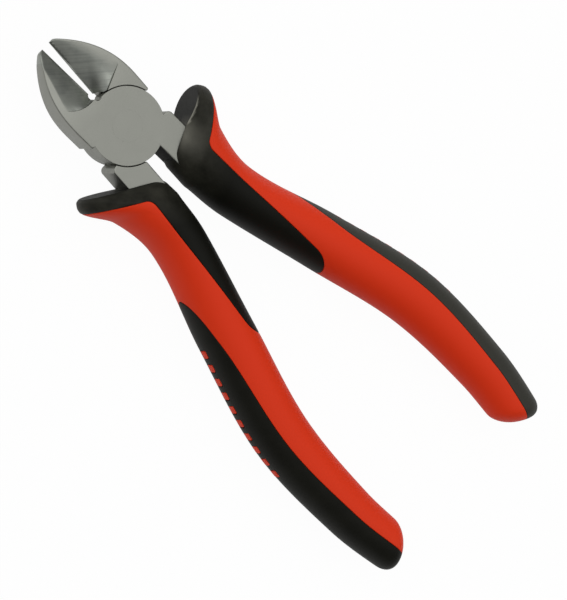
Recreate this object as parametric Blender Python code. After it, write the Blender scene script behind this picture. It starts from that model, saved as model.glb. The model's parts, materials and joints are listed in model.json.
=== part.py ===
"""Diagonal cutter with a lap joint and two-shot moulded grips.

Both halves of the tool are the same forging: one half is modelled with the
jaws closed, and the other is that half turned 180 degrees about the tool's
length.  +Y points to the jaw tips, +X to the right handle, and the origin is
on the pivot axis in the plane of the rear joint face.  All sizes are metres.
"""

import math
from collections import namedtuple

import bmesh
import bpy
from mathutils import Vector

# Head and lap joint
HEAD_THICKNESS = 0.0095
JOINT_RADIUS = 0.0103
SHOULDER_STEP = 0.0006
POCKET_CLEARANCE = 0.0002
LAP_GAP = 0.0002

# Jaws
JAW_REACH = 0.0290
JAW_SHOULDER_Y = 0.0030
JAW_CURVE_START_Y = 0.0070
JAW_CURVE_POWER = 2.5
TIP_WIDTH = 0.0011
EDGE_CLEARANCE = 0.00005
EDGE_LAND = 0.0003
RELIEF_RADIUS = 0.0010
RELIEF_BITE = 0.0004
BEVEL_ANGLE = math.radians(26.2)
BEVEL_FLOOR_Y = 0.0156
COVE_RADIUS = 0.0065
NOSE_START_Y = 0.0130
NOSE_ANGLE = math.radians(10)

# Rivet
RIVET_RADIUS = 0.0030
RIVET_HEAD_RADIUS = 0.0042
RIVET_SINK = 0.0015
RIVET_CLEARANCE = 0.00008

# Steel tangs inside the grips
TANG_SHOULDER_Y = -0.0046
TANG_SHOULDER_CHAMFER = 0.0014
TANG_INNER_X = 0.0023
TANG_ROOT_DEPTH = 0.0018
TANG_END_WIDTH = 0.0052
TANG_THICKNESS = 0.0070
TANG_END_THICKNESS = 0.0054
TANG_CHAMFER = 0.0012
TANG_SETTLE_Y = -0.0360
TANG_END_Y = -0.1120

# Moulded grips: sections of the right grip, from the mouth to the heel.  Each run is measured from the
# section ahead, each inner x is the grip's finger side, and each slant leans the section's line.
MOUTH_Y = -0.0119
MOUTH_INNER_X = 0.0012
MOUTH_WIDTH = 0.0236
MOUTH_THICKNESS = 0.0208
MOUTH_SLANT = math.radians(29)

HORN_RUN = 0.0040
HORN_INNER_X = 0.0007
HORN_WIDTH = 0.0256
HORN_THICKNESS = 0.0209
HORN_SLANT = math.radians(29)

NECK_RUN = 0.0051
NECK_INNER_X = 0.0009
NECK_WIDTH = 0.0185
NECK_THICKNESS = 0.0207
NECK_SLANT = math.radians(22)

WAIST_RUN = 0.0120
WAIST_INNER_X = 0.0019
WAIST_WIDTH = 0.0144
WAIST_THICKNESS = 0.0191
WAIST_SLANT = math.radians(14)

PALM_RUN = 0.0270
PALM_INNER_X = 0.0080
PALM_WIDTH = 0.0157
PALM_THICKNESS = 0.0173
PALM_SLANT = math.radians(14)

BELLY_RUN = 0.0300
BELLY_INNER_X = 0.0144
BELLY_WIDTH = 0.0158
BELLY_THICKNESS = 0.0162
BELLY_SLANT = math.radians(6)

TAIL_RUN = 0.0280
TAIL_INNER_X = 0.0151
TAIL_WIDTH = 0.0141
TAIL_THICKNESS = 0.0148
TAIL_SLANT = math.radians(-7)

HEEL_RUN = 0.0180
HEEL_INNER_X = 0.0137
HEEL_WIDTH = 0.0130
HEEL_THICKNESS = 0.0130
HEEL_SLANT = math.radians(-30)

# Ends of the grip: the mouth ramps down to the tang above and below it, and is crisp round the horn
MOUTH_EDGE_ROUND = 0.0010
RAMP_HEIGHT = 0.0043
RAMP_LENGTH = 0.0045
RAMP_TURN = math.radians(10)
RAMP_POWER = 1.4
HEEL_OUTER_ROUND = 0.0040
HEEL_INNER_ROUND = 0.0054

# Soft black islands over the hard red core
SOFT_LAYER = 0.0022
CORE_WALL = 0.0014
FRONT_WALL = 0.0028
COLLAR_DEPTH = 0.0038
COLLAR_CORNER_ROUND = 0.0031
TONGUE_ROOT_X = 0.0096
TONGUE_TIP_X = 0.0110
TONGUE_TIP_Y = -0.0540
TONGUE_END_Y = -0.0675
TONGUE_ROUND = 0.0075
STRIP_START_Y = -0.0465
STRIP_DEPTH = 0.0062
STRIP_RUN = 0.0210

# Red rungs that show through the palm strip
RUNG_COUNT = 10
RUNG_START_Y = -0.0613
RUNG_PITCH = 0.0039
RUNG_LENGTH = 0.0021
RUNG_HEIGHT = 0.0031

# Fits and stance
FIT_CLEARANCE = 0.0003
REST_OPENING = math.radians(4.8)

# Facets; the grip's stations stand closer together at the horn, which bends most
CIRCLE_SIDES = 64
SECTION_SIDES = 24
MAIN_STATIONS = 22
STATION_CROWDING = 1.5
ROUND_STATIONS = 4

JAW_HALF_WIDTH = JOINT_RADIUS + SHOULDER_STEP
HALF_THICKNESS = HEAD_THICKNESS / 2
REACH = 2 * JAW_REACH
SECTION_ANGLES = [math.tau * side / SECTION_SIDES for side in range(SECTION_SIDES)]
TANG_WIDTH = WAIST_WIDTH - 2 * (SOFT_LAYER + FIT_CLEARANCE + CORE_WALL)

Section = namedtuple("Section", "along across width thickness slant")


def section_behind(ahead_y, run, inner_x, width, thickness, slant):
    """A grip section a run behind another, with its finger side at the given x."""
    return Section(ahead_y - run, inner_x + width / 2 * math.cos(slant), width, thickness, slant)


MOUTH = section_behind(MOUTH_Y, 0, MOUTH_INNER_X, MOUTH_WIDTH, MOUTH_THICKNESS, MOUTH_SLANT)
HORN = section_behind(MOUTH.along, HORN_RUN, HORN_INNER_X, HORN_WIDTH, HORN_THICKNESS, HORN_SLANT)
NECK = section_behind(HORN.along, NECK_RUN, NECK_INNER_X, NECK_WIDTH, NECK_THICKNESS, NECK_SLANT)
WAIST = section_behind(NECK.along, WAIST_RUN, WAIST_INNER_X, WAIST_WIDTH, WAIST_THICKNESS, WAIST_SLANT)
PALM = section_behind(WAIST.along, PALM_RUN, PALM_INNER_X, PALM_WIDTH, PALM_THICKNESS, PALM_SLANT)
BELLY = section_behind(PALM.along, BELLY_RUN, BELLY_INNER_X, BELLY_WIDTH, BELLY_THICKNESS, BELLY_SLANT)
TAIL = section_behind(BELLY.along, TAIL_RUN, TAIL_INNER_X, TAIL_WIDTH, TAIL_THICKNESS, TAIL_SLANT)
HEEL = section_behind(TAIL.along, HEEL_RUN, HEEL_INNER_X, HEEL_WIDTH, HEEL_THICKNESS, HEEL_SLANT)
GRIP_SECTIONS = (MOUTH, HORN, NECK, WAIST, PALM, BELLY, TAIL, HEEL)


def clear_scene():
    for old in list(bpy.data.objects):
        bpy.data.objects.remove(old, do_unlink=True)


def material(name, colour, roughness, metallic):
    made = bpy.data.materials.new(name)
    made.use_nodes = True
    shader = made.node_tree.nodes["Principled BSDF"]
    shader.inputs["Base Color"].default_value = (*colour, 1)
    shader.inputs["Roughness"].default_value = roughness
    shader.inputs["Metallic"].default_value = metallic
    return made


def closed_object(name, points, faces):
    """A new object from points and faces that close a body, faces outward."""
    mesh = bpy.data.meshes.new(name)
    mesh.from_pydata([tuple(point) for point in points], [], faces)
    shape = bmesh.new()
    shape.from_mesh(mesh)
    bmesh.ops.recalc_face_normals(shape, faces=shape.faces)
    shape.to_mesh(mesh)
    shape.free()
    made = bpy.data.objects.new(name, mesh)
    bpy.context.collection.objects.link(made)
    return made


def loft(name, rings):
    """A body through rings of equal point counts, with flat ends."""
    sides = len(rings[0])
    points = [point for ring in rings for point in ring]
    faces = [list(range(sides)), list(range(len(points) - sides, len(points)))]
    for start in range(0, len(points) - sides, sides):
        for side in range(sides):
            after = (side + 1) % sides
            faces.append([start + side, start + after, start + sides + after, start + sides + side])
    return closed_object(name, points, faces)


def extrude(name, outline, travel):
    """A prism: a flat outline of 3-D points pushed along a vector."""
    base = [Vector(point) for point in outline]
    return loft(name, [base, [point + Vector(travel) for point in base]])


def plan_prism(name, outline, bottom, top):
    """A prism that stands on a plan outline between two heights."""
    return extrude(name, [(x, y, bottom) for x, y in outline], (0, 0, top - bottom))


def turned(name, profile):
    """A body of revolution about Z through (radius, height) pairs."""
    return loft(name, [[(x, y, height) for x, y in circle(radius)] for radius, height in profile])


def arc(centre, radius, start, end, steps):
    """Plan points along an arc between two angles in radians."""
    angles = [start + (end - start) * step / steps for step in range(steps + 1)]
    return [(centre[0] + radius * math.cos(a), centre[1] + radius * math.sin(a)) for a in angles]


def circle(radius):
    return arc((0, 0), radius, 0, math.tau, CIRCLE_SIDES)[:-1]


def arc_steps(start, end):
    """As many facets as a full circle would have over this stretch."""
    return max(2, round(abs(end - start) / math.tau * CIRCLE_SIDES))


def fillet(before, corner, after, radius, steps=5):
    """Plan points that round one corner of an outline."""
    corner = Vector(corner)
    back = (Vector(before) - corner).normalized()
    ahead = (Vector(after) - corner).normalized()
    half = back.angle(ahead) / 2
    reach = radius / math.tan(half)
    centre = corner + (back + ahead).normalized() * radius / math.sin(half)
    first = corner + back * reach - centre
    turn = first.angle_signed(corner + ahead * reach - centre)
    start = math.atan2(first.y, first.x)
    return arc(centre, radius, start, start - turn, steps)


def combine(target, other, operation):
    """Boolean the other body into the target, and remove the other."""
    change = target.modifiers.new(operation.title(), "BOOLEAN")
    change.operation = operation
    change.solver = "EXACT"
    change.object = other
    bpy.context.view_layer.update()
    evaluated = target.evaluated_get(bpy.context.evaluated_depsgraph_get())
    mesh = bpy.data.meshes.new_from_object(evaluated)
    target.modifiers.clear()
    target.data = mesh
    bpy.data.objects.remove(other, do_unlink=True)


def duplicate(source, name):
    copy = bpy.data.objects.new(name, source.data.copy())
    bpy.context.collection.objects.link(copy)
    return copy


def finish(piece, finish_material):
    """Clean the piece's mesh, shade it and give it its material."""
    shape = bmesh.new()
    shape.from_mesh(piece.data)
    bmesh.ops.remove_doubles(shape, verts=shape.verts, dist=1e-6)
    bmesh.ops.dissolve_degenerate(shape, edges=shape.edges, dist=1e-6)
    shape.to_mesh(piece.data)
    shape.free()
    piece.data.shade_smooth()
    piece.data.set_sharp_from_angle(angle=math.radians(30))
    piece.data.materials.clear()
    piece.data.materials.append(finish_material)
    return piece


# The handle's spine and its sections

def section_at(along):
    """The grip's section at a place along the spine, smooth between the named ones."""
    rows = GRIP_SECTIONS
    last = len(rows) - 2
    index = next((i for i in range(last) if along >= rows[i + 1].along), last)
    low, high = rows[index], rows[index + 1]
    span = high.along - low.along
    t = (along - low.along) / span
    before = rows[max(index - 1, 0)]
    after = rows[min(index + 2, len(rows) - 1)]
    values = []
    for field in range(1, len(low)):
        leave = (high[field] - before[field]) / (high.along - before.along) * span
        arrive = (after[field] - low[field]) / (after.along - low.along) * span
        values.append(
            low[field] * (2 * t**3 - 3 * t**2 + 1) + leave * (t**3 - 2 * t**2 + t)
            + high[field] * (3 * t**2 - 2 * t**3) + arrive * (t**3 - t**2)
        )
    return Section(along, *values)


def across_direction(section):
    """The plan direction from the inner rail to the outer rail."""
    return Vector((math.cos(section.slant), math.sin(section.slant)))


def rail_point(along, offset):
    """A plan point on a section's line, measured outward from the outer rail."""
    section = section_at(along)
    centre = Vector((section.across, section.along))
    return centre + across_direction(section) * (section.width / 2 + offset)


def rounding(depth, radius):
    """How far a rounded end draws in at a depth below its face."""
    rest = max(radius - depth, 0)
    return radius - math.sqrt(radius**2 - rest**2)


def round_depths(radius):
    """Depths that step evenly round a quarter circle."""
    return [radius * (1 - math.cos(math.pi / 2 * i / ROUND_STATIONS)) for i in range(ROUND_STATIONS)]


def mouth_draw(depth, angle):
    """How far the mouth draws in, at a depth behind its face and an angle from the palm side."""
    folded = min(angle, math.tau - angle)
    share = math.sin(folded - RAMP_TURN) ** 4
    length = MOUTH_EDGE_ROUND + (RAMP_LENGTH - MOUTH_EDGE_ROUND) * share
    height = MOUTH_EDGE_ROUND + RAMP_HEIGHT * share
    rest = max(length - depth, 0) / length
    return height * (1 - (1 - rest**RAMP_POWER) ** (1 / RAMP_POWER))


def heel_round(angle):
    """Radius of the heel's edge at an angle round the grip, from the palm side."""
    return HEEL_INNER_ROUND + (HEEL_OUTER_ROUND - HEEL_INNER_ROUND) * (1 + math.cos(angle)) / 2


def grip_body(name, inset=0, front=0):
    """The grip's outer form, or the same form drawn in by a layer behind a front wall."""
    start, end = MOUTH.along - front, HEEL.along + inset
    mouth_depth = 0 if inset else RAMP_LENGTH
    heel_depth = max(HEEL_OUTER_ROUND, HEEL_INNER_ROUND) - inset
    first, last = start - mouth_depth, end + heel_depth
    stations = [start - depth for depth in round_depths(mouth_depth)] if mouth_depth else []
    shares = [(i / MAIN_STATIONS) ** STATION_CROWDING for i in range(MAIN_STATIONS)]
    stations += [first + (last - first) * share for share in shares]
    stations += [end + depth for depth in reversed(round_depths(heel_depth))]
    rings = []
    for along in stations:
        drawn_in = []
        for angle in SECTION_ANGLES:
            draw = inset + rounding(along - end, heel_round(angle) - inset)
            if mouth_depth:
                draw += mouth_draw(start - along, angle)
            drawn_in.append(draw)
        rings.append(grip_ring(section_at(along), drawn_in))
    return loft(name, rings)


def grip_ring(section, drawn_in):
    """An oval ring in the plane of one section, drawn in by an amount for each angle."""
    outward = across_direction(section)
    ring = []
    for angle, draw in zip(SECTION_ANGLES, drawn_in):
        u = (section.width / 2 - draw) * math.cos(angle)
        v = (section.thickness / 2 - draw) * math.sin(angle)
        ring.append((section.across + outward.x * u, section.along + outward.y * u, v))
    return ring


# Levers

def face_line_y(x, depth):
    """Y of the collar's slanted front face, or of a plane that deep behind it."""
    return MOUTH.along + (x - MOUTH.across) * math.tan(MOUTH.slant) - depth / math.cos(MOUTH.slant)


def tang_root_outline(grow=0):
    """Plan of the thick part of the tang that shows ahead of the collar."""
    inner = TANG_INNER_X - grow
    outer = JAW_HALF_WIDTH + grow
    depth = TANG_ROOT_DEPTH + grow
    return [
        (outer - TANG_SHOULDER_CHAMFER, TANG_SHOULDER_Y),
        (outer, TANG_SHOULDER_Y - TANG_SHOULDER_CHAMFER),
        (outer, face_line_y(outer, depth)),
        (inner, face_line_y(inner, depth)),
        (inner, TANG_SHOULDER_Y),
    ]


def lever_outline():
    """Plan of one lever with the jaws closed: jaw at -X, tang at +X."""
    relief_y = JOINT_RADIUS + RELIEF_RADIUS - RELIEF_BITE
    meet_y = (JOINT_RADIUS**2 + relief_y**2 - RELIEF_RADIUS**2) / (2 * relief_y)
    disc_start = math.asin(meet_y / JOINT_RADIUS)
    notch_start = math.pi / 2 + math.asin(EDGE_CLEARANCE / RELIEF_RADIUS)
    notch_end = math.tau + math.asin((meet_y - relief_y) / RELIEF_RADIUS)
    notch = arc((0, relief_y), RELIEF_RADIUS, notch_start, notch_end, 12)
    outer_shoulder = math.asin(TANG_SHOULDER_Y / JOINT_RADIUS)
    right = arc((0, 0), JOINT_RADIUS, disc_start, outer_shoulder, arc_steps(disc_start, outer_shoulder))
    tang_start = -math.acos(TANG_INNER_X / JOINT_RADIUS)
    jaw_end = -math.pi - math.asin(JAW_SHOULDER_Y / JOINT_RADIUS)
    left = arc((0, 0), JOINT_RADIUS, tang_start, jaw_end, arc_steps(tang_start, jaw_end))
    return (
        [(-EDGE_CLEARANCE, JAW_REACH)] + notch + right[1:] + tang_root_outline()[:4]
        + left + [(-JAW_HALF_WIDTH, JAW_SHOULDER_Y)] + jaw_curve()
    )


def jaw_curve(steps=14):
    """The jaw's outer side, from its straight flank round to the blunt tip."""
    reach_share = (1 - TIP_WIDTH / JAW_HALF_WIDTH) ** (1 / JAW_CURVE_POWER)
    points = []
    for step in range(steps + 1):
        share = step / steps
        y = JAW_CURVE_START_Y + (JAW_REACH - JAW_CURVE_START_Y) * share
        x = JAW_HALF_WIDTH * (1 - (share * reach_share) ** JAW_CURVE_POWER)
        points.append((-x, y))
    return points


def bevel_cutter(side):
    """The ground hollow that thins a jaw to its edge, on the front (1) or rear (-1)."""
    along_floor = Vector((-math.cos(BEVEL_ANGLE), 0, side * math.sin(BEVEL_ANGLE)))
    off_floor = Vector((math.sin(BEVEL_ANGLE), 0, side * math.cos(BEVEL_ANGLE)))
    start = Vector((0, 0, side * EDGE_LAND / 2)) - along_floor * RELIEF_RADIUS
    profile = arc((BEVEL_FLOOR_Y, COVE_RADIUS), COVE_RADIUS, math.pi, 1.5 * math.pi, 8)
    profile += [(REACH, 0), (REACH, HEAD_THICKNESS), (profile[0][0], HEAD_THICKNESS)]
    outline = [start + Vector((0, y, 0)) + off_floor * height for y, height in profile]
    return extrude("bevel_cutter", outline, along_floor * REACH)


def nose_cutter(side):
    """The wedge that thins a jaw towards its tip."""
    drop = math.tan(NOSE_ANGLE) * (REACH - NOSE_START_Y)
    outline = [
        (-REACH, NOSE_START_Y, side * HALF_THICKNESS),
        (-REACH, REACH, side * (HALF_THICKNESS - drop)),
        (-REACH, REACH, side * HEAD_THICKNESS),
        (-REACH, NOSE_START_Y, side * HEAD_THICKNESS),
    ]
    return extrude("nose_cutter", outline, (2 * REACH, 0, 0))


def rivet_profile(clearance):
    """Radius and height pairs up the rivet, sunk at both ends."""
    shank = RIVET_RADIUS + clearance
    head = RIVET_HEAD_RADIUS + clearance
    sink = HALF_THICKNESS - RIVET_SINK
    return [(head, -HALF_THICKNESS), (shank, -sink), (shank, sink), (head, HALF_THICKNESS)]


def rivet_bore():
    """The rivet's hole, run out past both faces."""
    profile = rivet_profile(RIVET_CLEARANCE)
    wide = profile[0][0]
    return turned("rivet_bore", [(wide, -HEAD_THICKNESS)] + profile + [(wide, HEAD_THICKNESS)])


def tang_bar(name, grow=0):
    """The narrow tang inside the grip: a tapered bar with chamfered corners."""
    root_centre = (TANG_INNER_X + JAW_HALF_WIDTH) / 2
    start, end = face_line_y(root_centre, 0), TANG_END_Y - grow
    rings = []
    for step in range(MAIN_STATIONS + 1):
        share = step / MAIN_STATIONS
        section = section_at(start + (end - start) * share)
        settle = min(1, (section.along - start) / (TANG_SETTLE_Y - start))
        settle = settle**2 * (3 - 2 * settle)
        centre = root_centre + (section.across - root_centre) * settle
        half_width = (TANG_WIDTH + (TANG_END_WIDTH - TANG_WIDTH) * share) / 2 + grow
        half_height = (TANG_THICKNESS + (TANG_END_THICKNESS - TANG_THICKNESS) * share) / 2 + grow
        rings.append(chamfered_ring(section, centre, half_width, half_height))
    return loft(name, rings)


def chamfered_ring(section, centre, half_width, half_height):
    outward = across_direction(section)
    corners = []
    for u_sign, v_sign in ((1, 1), (-1, 1), (-1, -1), (1, -1)):
        pair = [
            (u_sign * half_width, v_sign * (half_height - TANG_CHAMFER)),
            (u_sign * (half_width - TANG_CHAMFER), v_sign * half_height),
        ]
        corners += pair if u_sign == v_sign else reversed(pair)
    return [(centre + outward.x * u, section.along + outward.y * u, v) for u, v in corners]


def make_lever(name):
    """One forged half: jaw, half-thick joint disc and tang."""
    lever = plan_prism(name, lever_outline(), -HALF_THICKNESS, HALF_THICKNESS)
    pocket = circle(JOINT_RADIUS + POCKET_CLEARANCE)
    combine(lever, plan_prism("lap_pocket", pocket, -HEAD_THICKNESS, LAP_GAP / 2), "DIFFERENCE")
    for side in (1, -1):
        combine(lever, bevel_cutter(side), "DIFFERENCE")
        combine(lever, nose_cutter(side), "DIFFERENCE")
    combine(lever, rivet_bore(), "DIFFERENCE")
    combine(lever, tang_bar("tang"), "UNION")
    return lever


# Grip islands

def collar_outline(gap=0):
    """Plan of the black collar and the tongue that runs down the inner side."""
    beyond = REACH
    depth = COLLAR_DEPTH + gap
    root_x, tip_x = TONGUE_ROOT_X + gap, TONGUE_TIP_X + gap
    end_y = TONGUE_END_Y - gap
    slope = (TONGUE_TIP_X - TONGUE_ROOT_X) / (TONGUE_TIP_Y - face_line_y(TONGUE_ROOT_X, COLLAR_DEPTH))
    corner = Vector((root_x, face_line_y(root_x, depth)))
    outer = Vector((beyond, face_line_y(beyond, depth)))
    tongue_tip = Vector((tip_x + slope * (end_y - TONGUE_TIP_Y), end_y))
    inner_end = Vector((-beyond, end_y))
    return (
        [(beyond, beyond), tuple(outer)]
        + fillet(outer, corner, tongue_tip, COLLAR_CORNER_ROUND)
        + fillet(corner, tongue_tip, inner_end, TONGUE_ROUND)
        + [tuple(inner_end), (-beyond, beyond)]
    )


def strip_outline(gap=0, steps=20):
    """Plan of the black palm strip, widening from a point on the outer rail."""
    start, end = STRIP_START_Y + gap, HEEL.along - HEEL_OUTER_ROUND
    edge, outside = [], []
    for step in range(steps + 1):
        along = start + (end - start) * step / steps
        depth = (STRIP_DEPTH + gap) * (1 - math.exp((along - start) / STRIP_RUN))
        edge.append(tuple(rail_point(along, -depth)))
        outside.append(tuple(rail_point(along, STRIP_DEPTH)))
    return edge + outside[::-1]


def rung_boxes(grow=0):
    """Blocks through the palm strip, spaced along the outer rail."""
    boxes = []
    for rung in range(RUNG_COUNT):
        along = RUNG_START_Y - rung * RUNG_PITCH
        outward = across_direction(section_at(along)).to_3d()
        lengthwise = Vector((outward.y, -outward.x, 0)) * (RUNG_LENGTH / 2 + grow)
        upward = Vector((0, 0, RUNG_HEIGHT / 2 + grow))
        inner = rail_point(along, -SOFT_LAYER * 2).to_3d()
        outline = [inner + lengthwise * a + upward * b for a, b in ((1, 1), (1, -1), (-1, -1), (-1, 1))]
        boxes.append(extrude("rung", outline, outward * SOFT_LAYER * 4))
    return boxes


def tall(name, outline):
    """A plan outline as a cutter that is taller than the grip."""
    height = max(section.thickness for section in GRIP_SECTIONS)
    return plan_prism(name, outline, -height, height)


def tang_cavity():
    """The room that the tang takes inside the grip."""
    cavity = tang_bar("tang_cavity", FIT_CLEARANCE)
    height = HALF_THICKNESS + FIT_CLEARANCE
    combine(cavity, plan_prism("root_cavity", tang_root_outline(FIT_CLEARANCE), -height, height), "UNION")
    return cavity


def make_collar(name):
    collar = grip_body(name)
    combine(collar, tall("collar_region", collar_outline()), "INTERSECT")
    combine(collar, grip_body("core_room", SOFT_LAYER, FRONT_WALL), "DIFFERENCE")
    combine(collar, tang_cavity(), "DIFFERENCE")
    return collar


def make_strip(name):
    strip = grip_body(name)
    combine(strip, tall("strip_region", strip_outline()), "INTERSECT")
    combine(strip, grip_body("core_room", SOFT_LAYER, FRONT_WALL), "DIFFERENCE")
    for window in rung_boxes(FIT_CLEARANCE):
        combine(strip, window, "DIFFERENCE")
    return strip


def make_core(name):
    core = grip_body(name)
    combine(core, tall("collar_room", collar_outline(FIT_CLEARANCE)), "DIFFERENCE")
    strip_room = tall("strip_room", strip_outline(FIT_CLEARANCE))
    for rung in rung_boxes():
        combine(strip_room, rung, "DIFFERENCE")
    combine(core, strip_room, "DIFFERENCE")
    inner = grip_body("inner_core", SOFT_LAYER + FIT_CLEARANCE, FRONT_WALL + FIT_CLEARANCE)
    combine(core, inner, "UNION")
    combine(core, tang_cavity(), "DIFFERENCE")
    return core


def pivot_empty(name, turn):
    empty = bpy.data.objects.new(name, None)
    empty.location = (0, 0, HALF_THICKNESS)
    empty.rotation_euler = turn
    bpy.context.collection.objects.link(empty)
    return empty


def main():
    clear_scene()
    steel = material("ground_steel", (0.262, 0.266, 0.242), 0.38, 1.0)
    red = material("hard_red_plastic", (0.571, 0.040, 0.017), 0.40, 0.0)
    black = material("soft_black_rubber", (0.018, 0.016, 0.012), 0.55, 0.0)

    front_pivot = pivot_empty("front_pivot", (0, 0, REST_OPENING / 2))
    rear_pivot = pivot_empty("rear_pivot", (0, math.pi, -REST_OPENING / 2))

    half = [
        (finish(make_lever("front_lever"), steel), "rear_lever"),
        (finish(make_core("right_grip_core"), red), "left_grip_core"),
        (finish(make_collar("right_grip_collar"), black), "left_grip_collar"),
        (finish(make_strip("right_palm_strip"), black), "left_palm_strip"),
    ]
    for piece, twin_name in half:
        piece.parent = front_pivot
        duplicate(piece, twin_name).parent = rear_pivot

    rivet = finish(turned("pivot_rivet", rivet_profile(0)), steel)
    rivet.parent = front_pivot


main()
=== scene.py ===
"""Looks of the diagonal cutter: fine meshes and finishes over the packed frame.

The file is laid out as a Blender add-on and is run as a script.  One half of
the tool is drawn as its forging is, with the jaws closed and the mid-plane at
z = 0, and both halves are then turned to their places at rest.
"""

import json
import math

import bmesh
import bpy
import numpy as np
from bpy.props import FloatProperty, FloatVectorProperty, IntProperty, PointerProperty
from mathutils import Matrix, Vector
from mathutils.geometry import delaunay_2d_cdt
from mathutils.kdtree import KDTree


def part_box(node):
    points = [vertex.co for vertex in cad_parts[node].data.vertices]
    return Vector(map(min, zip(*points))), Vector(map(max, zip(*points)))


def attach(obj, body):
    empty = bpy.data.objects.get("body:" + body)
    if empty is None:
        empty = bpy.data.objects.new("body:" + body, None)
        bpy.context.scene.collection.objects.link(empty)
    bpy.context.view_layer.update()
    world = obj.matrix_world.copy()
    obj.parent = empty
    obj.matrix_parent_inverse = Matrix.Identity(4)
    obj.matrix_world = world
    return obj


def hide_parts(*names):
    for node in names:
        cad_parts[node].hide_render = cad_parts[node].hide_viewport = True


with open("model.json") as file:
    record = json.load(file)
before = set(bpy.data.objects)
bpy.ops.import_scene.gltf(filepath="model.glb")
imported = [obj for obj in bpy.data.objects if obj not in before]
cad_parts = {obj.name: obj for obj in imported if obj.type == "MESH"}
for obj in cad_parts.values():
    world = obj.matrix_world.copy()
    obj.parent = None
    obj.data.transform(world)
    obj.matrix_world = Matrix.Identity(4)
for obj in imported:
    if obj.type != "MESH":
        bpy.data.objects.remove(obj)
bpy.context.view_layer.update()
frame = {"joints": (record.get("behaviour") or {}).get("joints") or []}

bl_info = {
    "name": "Diagonal Cutter",
    "version": (1, 0, 0),
    "blender": (4, 5, 0),
    "location": "3D View > Sidebar > Cutter",
    "description": "Builds the levers, rivet and two-shot grips of a diagonal cutter",
    "category": "Object",
}

RIVET_LOW, RIVET_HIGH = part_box("pivot_rivet")
HEAD_THICKNESS = RIVET_HIGH.z - RIVET_LOW.z
MID_HEIGHT = (RIVET_LOW.z + RIVET_HIGH.z) / 2
CLOSING_TRAVEL = -math.radians(frame["joints"][0]["range_deg"][0])

# Sections of the right grip from the mouth to the heel: distance behind the section ahead,
# finger side's distance from the middle line, width and thickness, and slant in degrees
MOUTH_PLACE = -0.0119
GRIP_SECTIONS = (
    (0.0000, 0.0012, 0.0236, 0.0208, 29),
    (0.0040, 0.0007, 0.0256, 0.0209, 29),
    (0.0051, 0.0009, 0.0185, 0.0207, 22),
    (0.0120, 0.0019, 0.0144, 0.0191, 14),
    (0.0270, 0.0080, 0.0157, 0.0173, 14),
    (0.0300, 0.0144, 0.0158, 0.0162, 6),
    (0.0280, 0.0151, 0.0141, 0.0148, -7),
    (0.0180, 0.0137, 0.0130, 0.0130, -30),
)

# The narrow tang inside a grip: its width and height at both ends, the chamfer of its corners,
# and where it ends and where it has come to the middle of the grip
BAR_WIDTHS, BAR_HEIGHTS, BAR_CHAMFER = (0.0066, 0.0052), (0.0070, 0.0054), 0.0012
BAR_END, BAR_SETTLED = -0.1120, -0.0360

# Rounds in the lever's outline, at the shoulders of the tang and of the jaw
TANG_SHOULDER_ROUND, JAW_SHOULDER_ROUND = 0.0013, 0.0005
# The most that an edge round may take of a lever's half thickness
DEEPEST_ROUND = 0.7
# The tang's inner side gets a painted shade, a dark matt tint for the shade it lies in, found to a
# tolerance, from a share of the joint's radius behind the pivot
SIDE_TOLERANCE, PAINTED_SHADE_START = 0.00001, 0.9

# Shares of an edge radius at which an edge round gets its rows of points
ROUND_ROWS = np.append(1 - np.cos(np.linspace(0, math.pi / 2, 5)), 1.9)
# Distances from the border of a bevel at which the lever gets rows of points
BEVEL_ROWS = (-0.00008, -0.0003, 0.00008, 0.0003)
# Steps between the points of a seam, of a window, of a bevel's border and of a curve to be mapped
SEAM_STEP, WINDOW_STEP, BEVEL_STEP, PLAN_STEP = 0.0004, 0.0003, 0.0002, 0.0001
# Share of the point spacing that inner points keep from the rows of points
GRIP_CLEAR, LEVER_CLEAR = 0.6, 0.5
# Plan width of a wall that stands upright, in the grips and in the levers
GRIP_WALL, LEVER_WALL = 0.000004, 0.000006
# How far a region of the chart reaches past the chart
CHART_MARGIN = 0.001
# Lengths below this count as none
TINY = 1e-6
# Counts of points or rings along a form, before any resampling
JAW_POINTS, CREASE_POINTS, FLANK_POINTS, STRIP_POINTS, RAIL_POINTS = 60, 50, 200, 4000, 60
BAR_RINGS, RIVET_SIDES = 40, 96
# Passes in which places that depend on one another settle
CHART_PASSES, PLAN_PASSES, STRIP_PASSES, CORNER_PASSES = 30, 60, 12, 30
# Edges that turn by more than this are shaded sharp
SHARP_EDGE = math.radians(38)

# Wear of the collar, and the painted highlight along the horn's ridge and painted sheen on the ramp
# behind the tang: depths behind its front face, or places across, and the share at each.
# Places across count from the tang's outer side, and the ramp's first two from its inner side.
SCUFFED_DEPTH = (0.00001, 0.0003, 0.0030, 0.0120), (0, 0.8, 1, 0)
RIDGE_DEPTH = (0.000002, 0.00001, 0.00012, 0.00022), (0, 1, 1, 0)
RIDGE_ACROSS = (0, 0.001, 0.006, 0.008), (0, 1, 0.6, 0)
RAMP_DEPTH = (0.00001, 0.00005, 0.0012, 0.0040), (0.3, 0.42, 0.2, 0)
RAMP_ACROSS = (0.002, 0.006, 0, 0.003), (0, 1, 0.8, 0)
# Wear of the palm strip: even scuffs; and a painted sheen, paler with height above the mid-plane
STRIP_SCUFFED = 0.12
STRIP_PAINTED_SHEEN = (0, 0.005), (0, 0.09)

# The stage: place, size and power of each soft box, and the point that they face
SOFT_BOXES = {
    "key_soft_box": ((0.35, 0.55, 1.75), 1.60, 3.2),
    "fill_soft_box": ((0.60, -1.15, 0.95), 1.40, 2.6),
}
LAMP_AIM = Vector((0, -0.05, 0))
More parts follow.
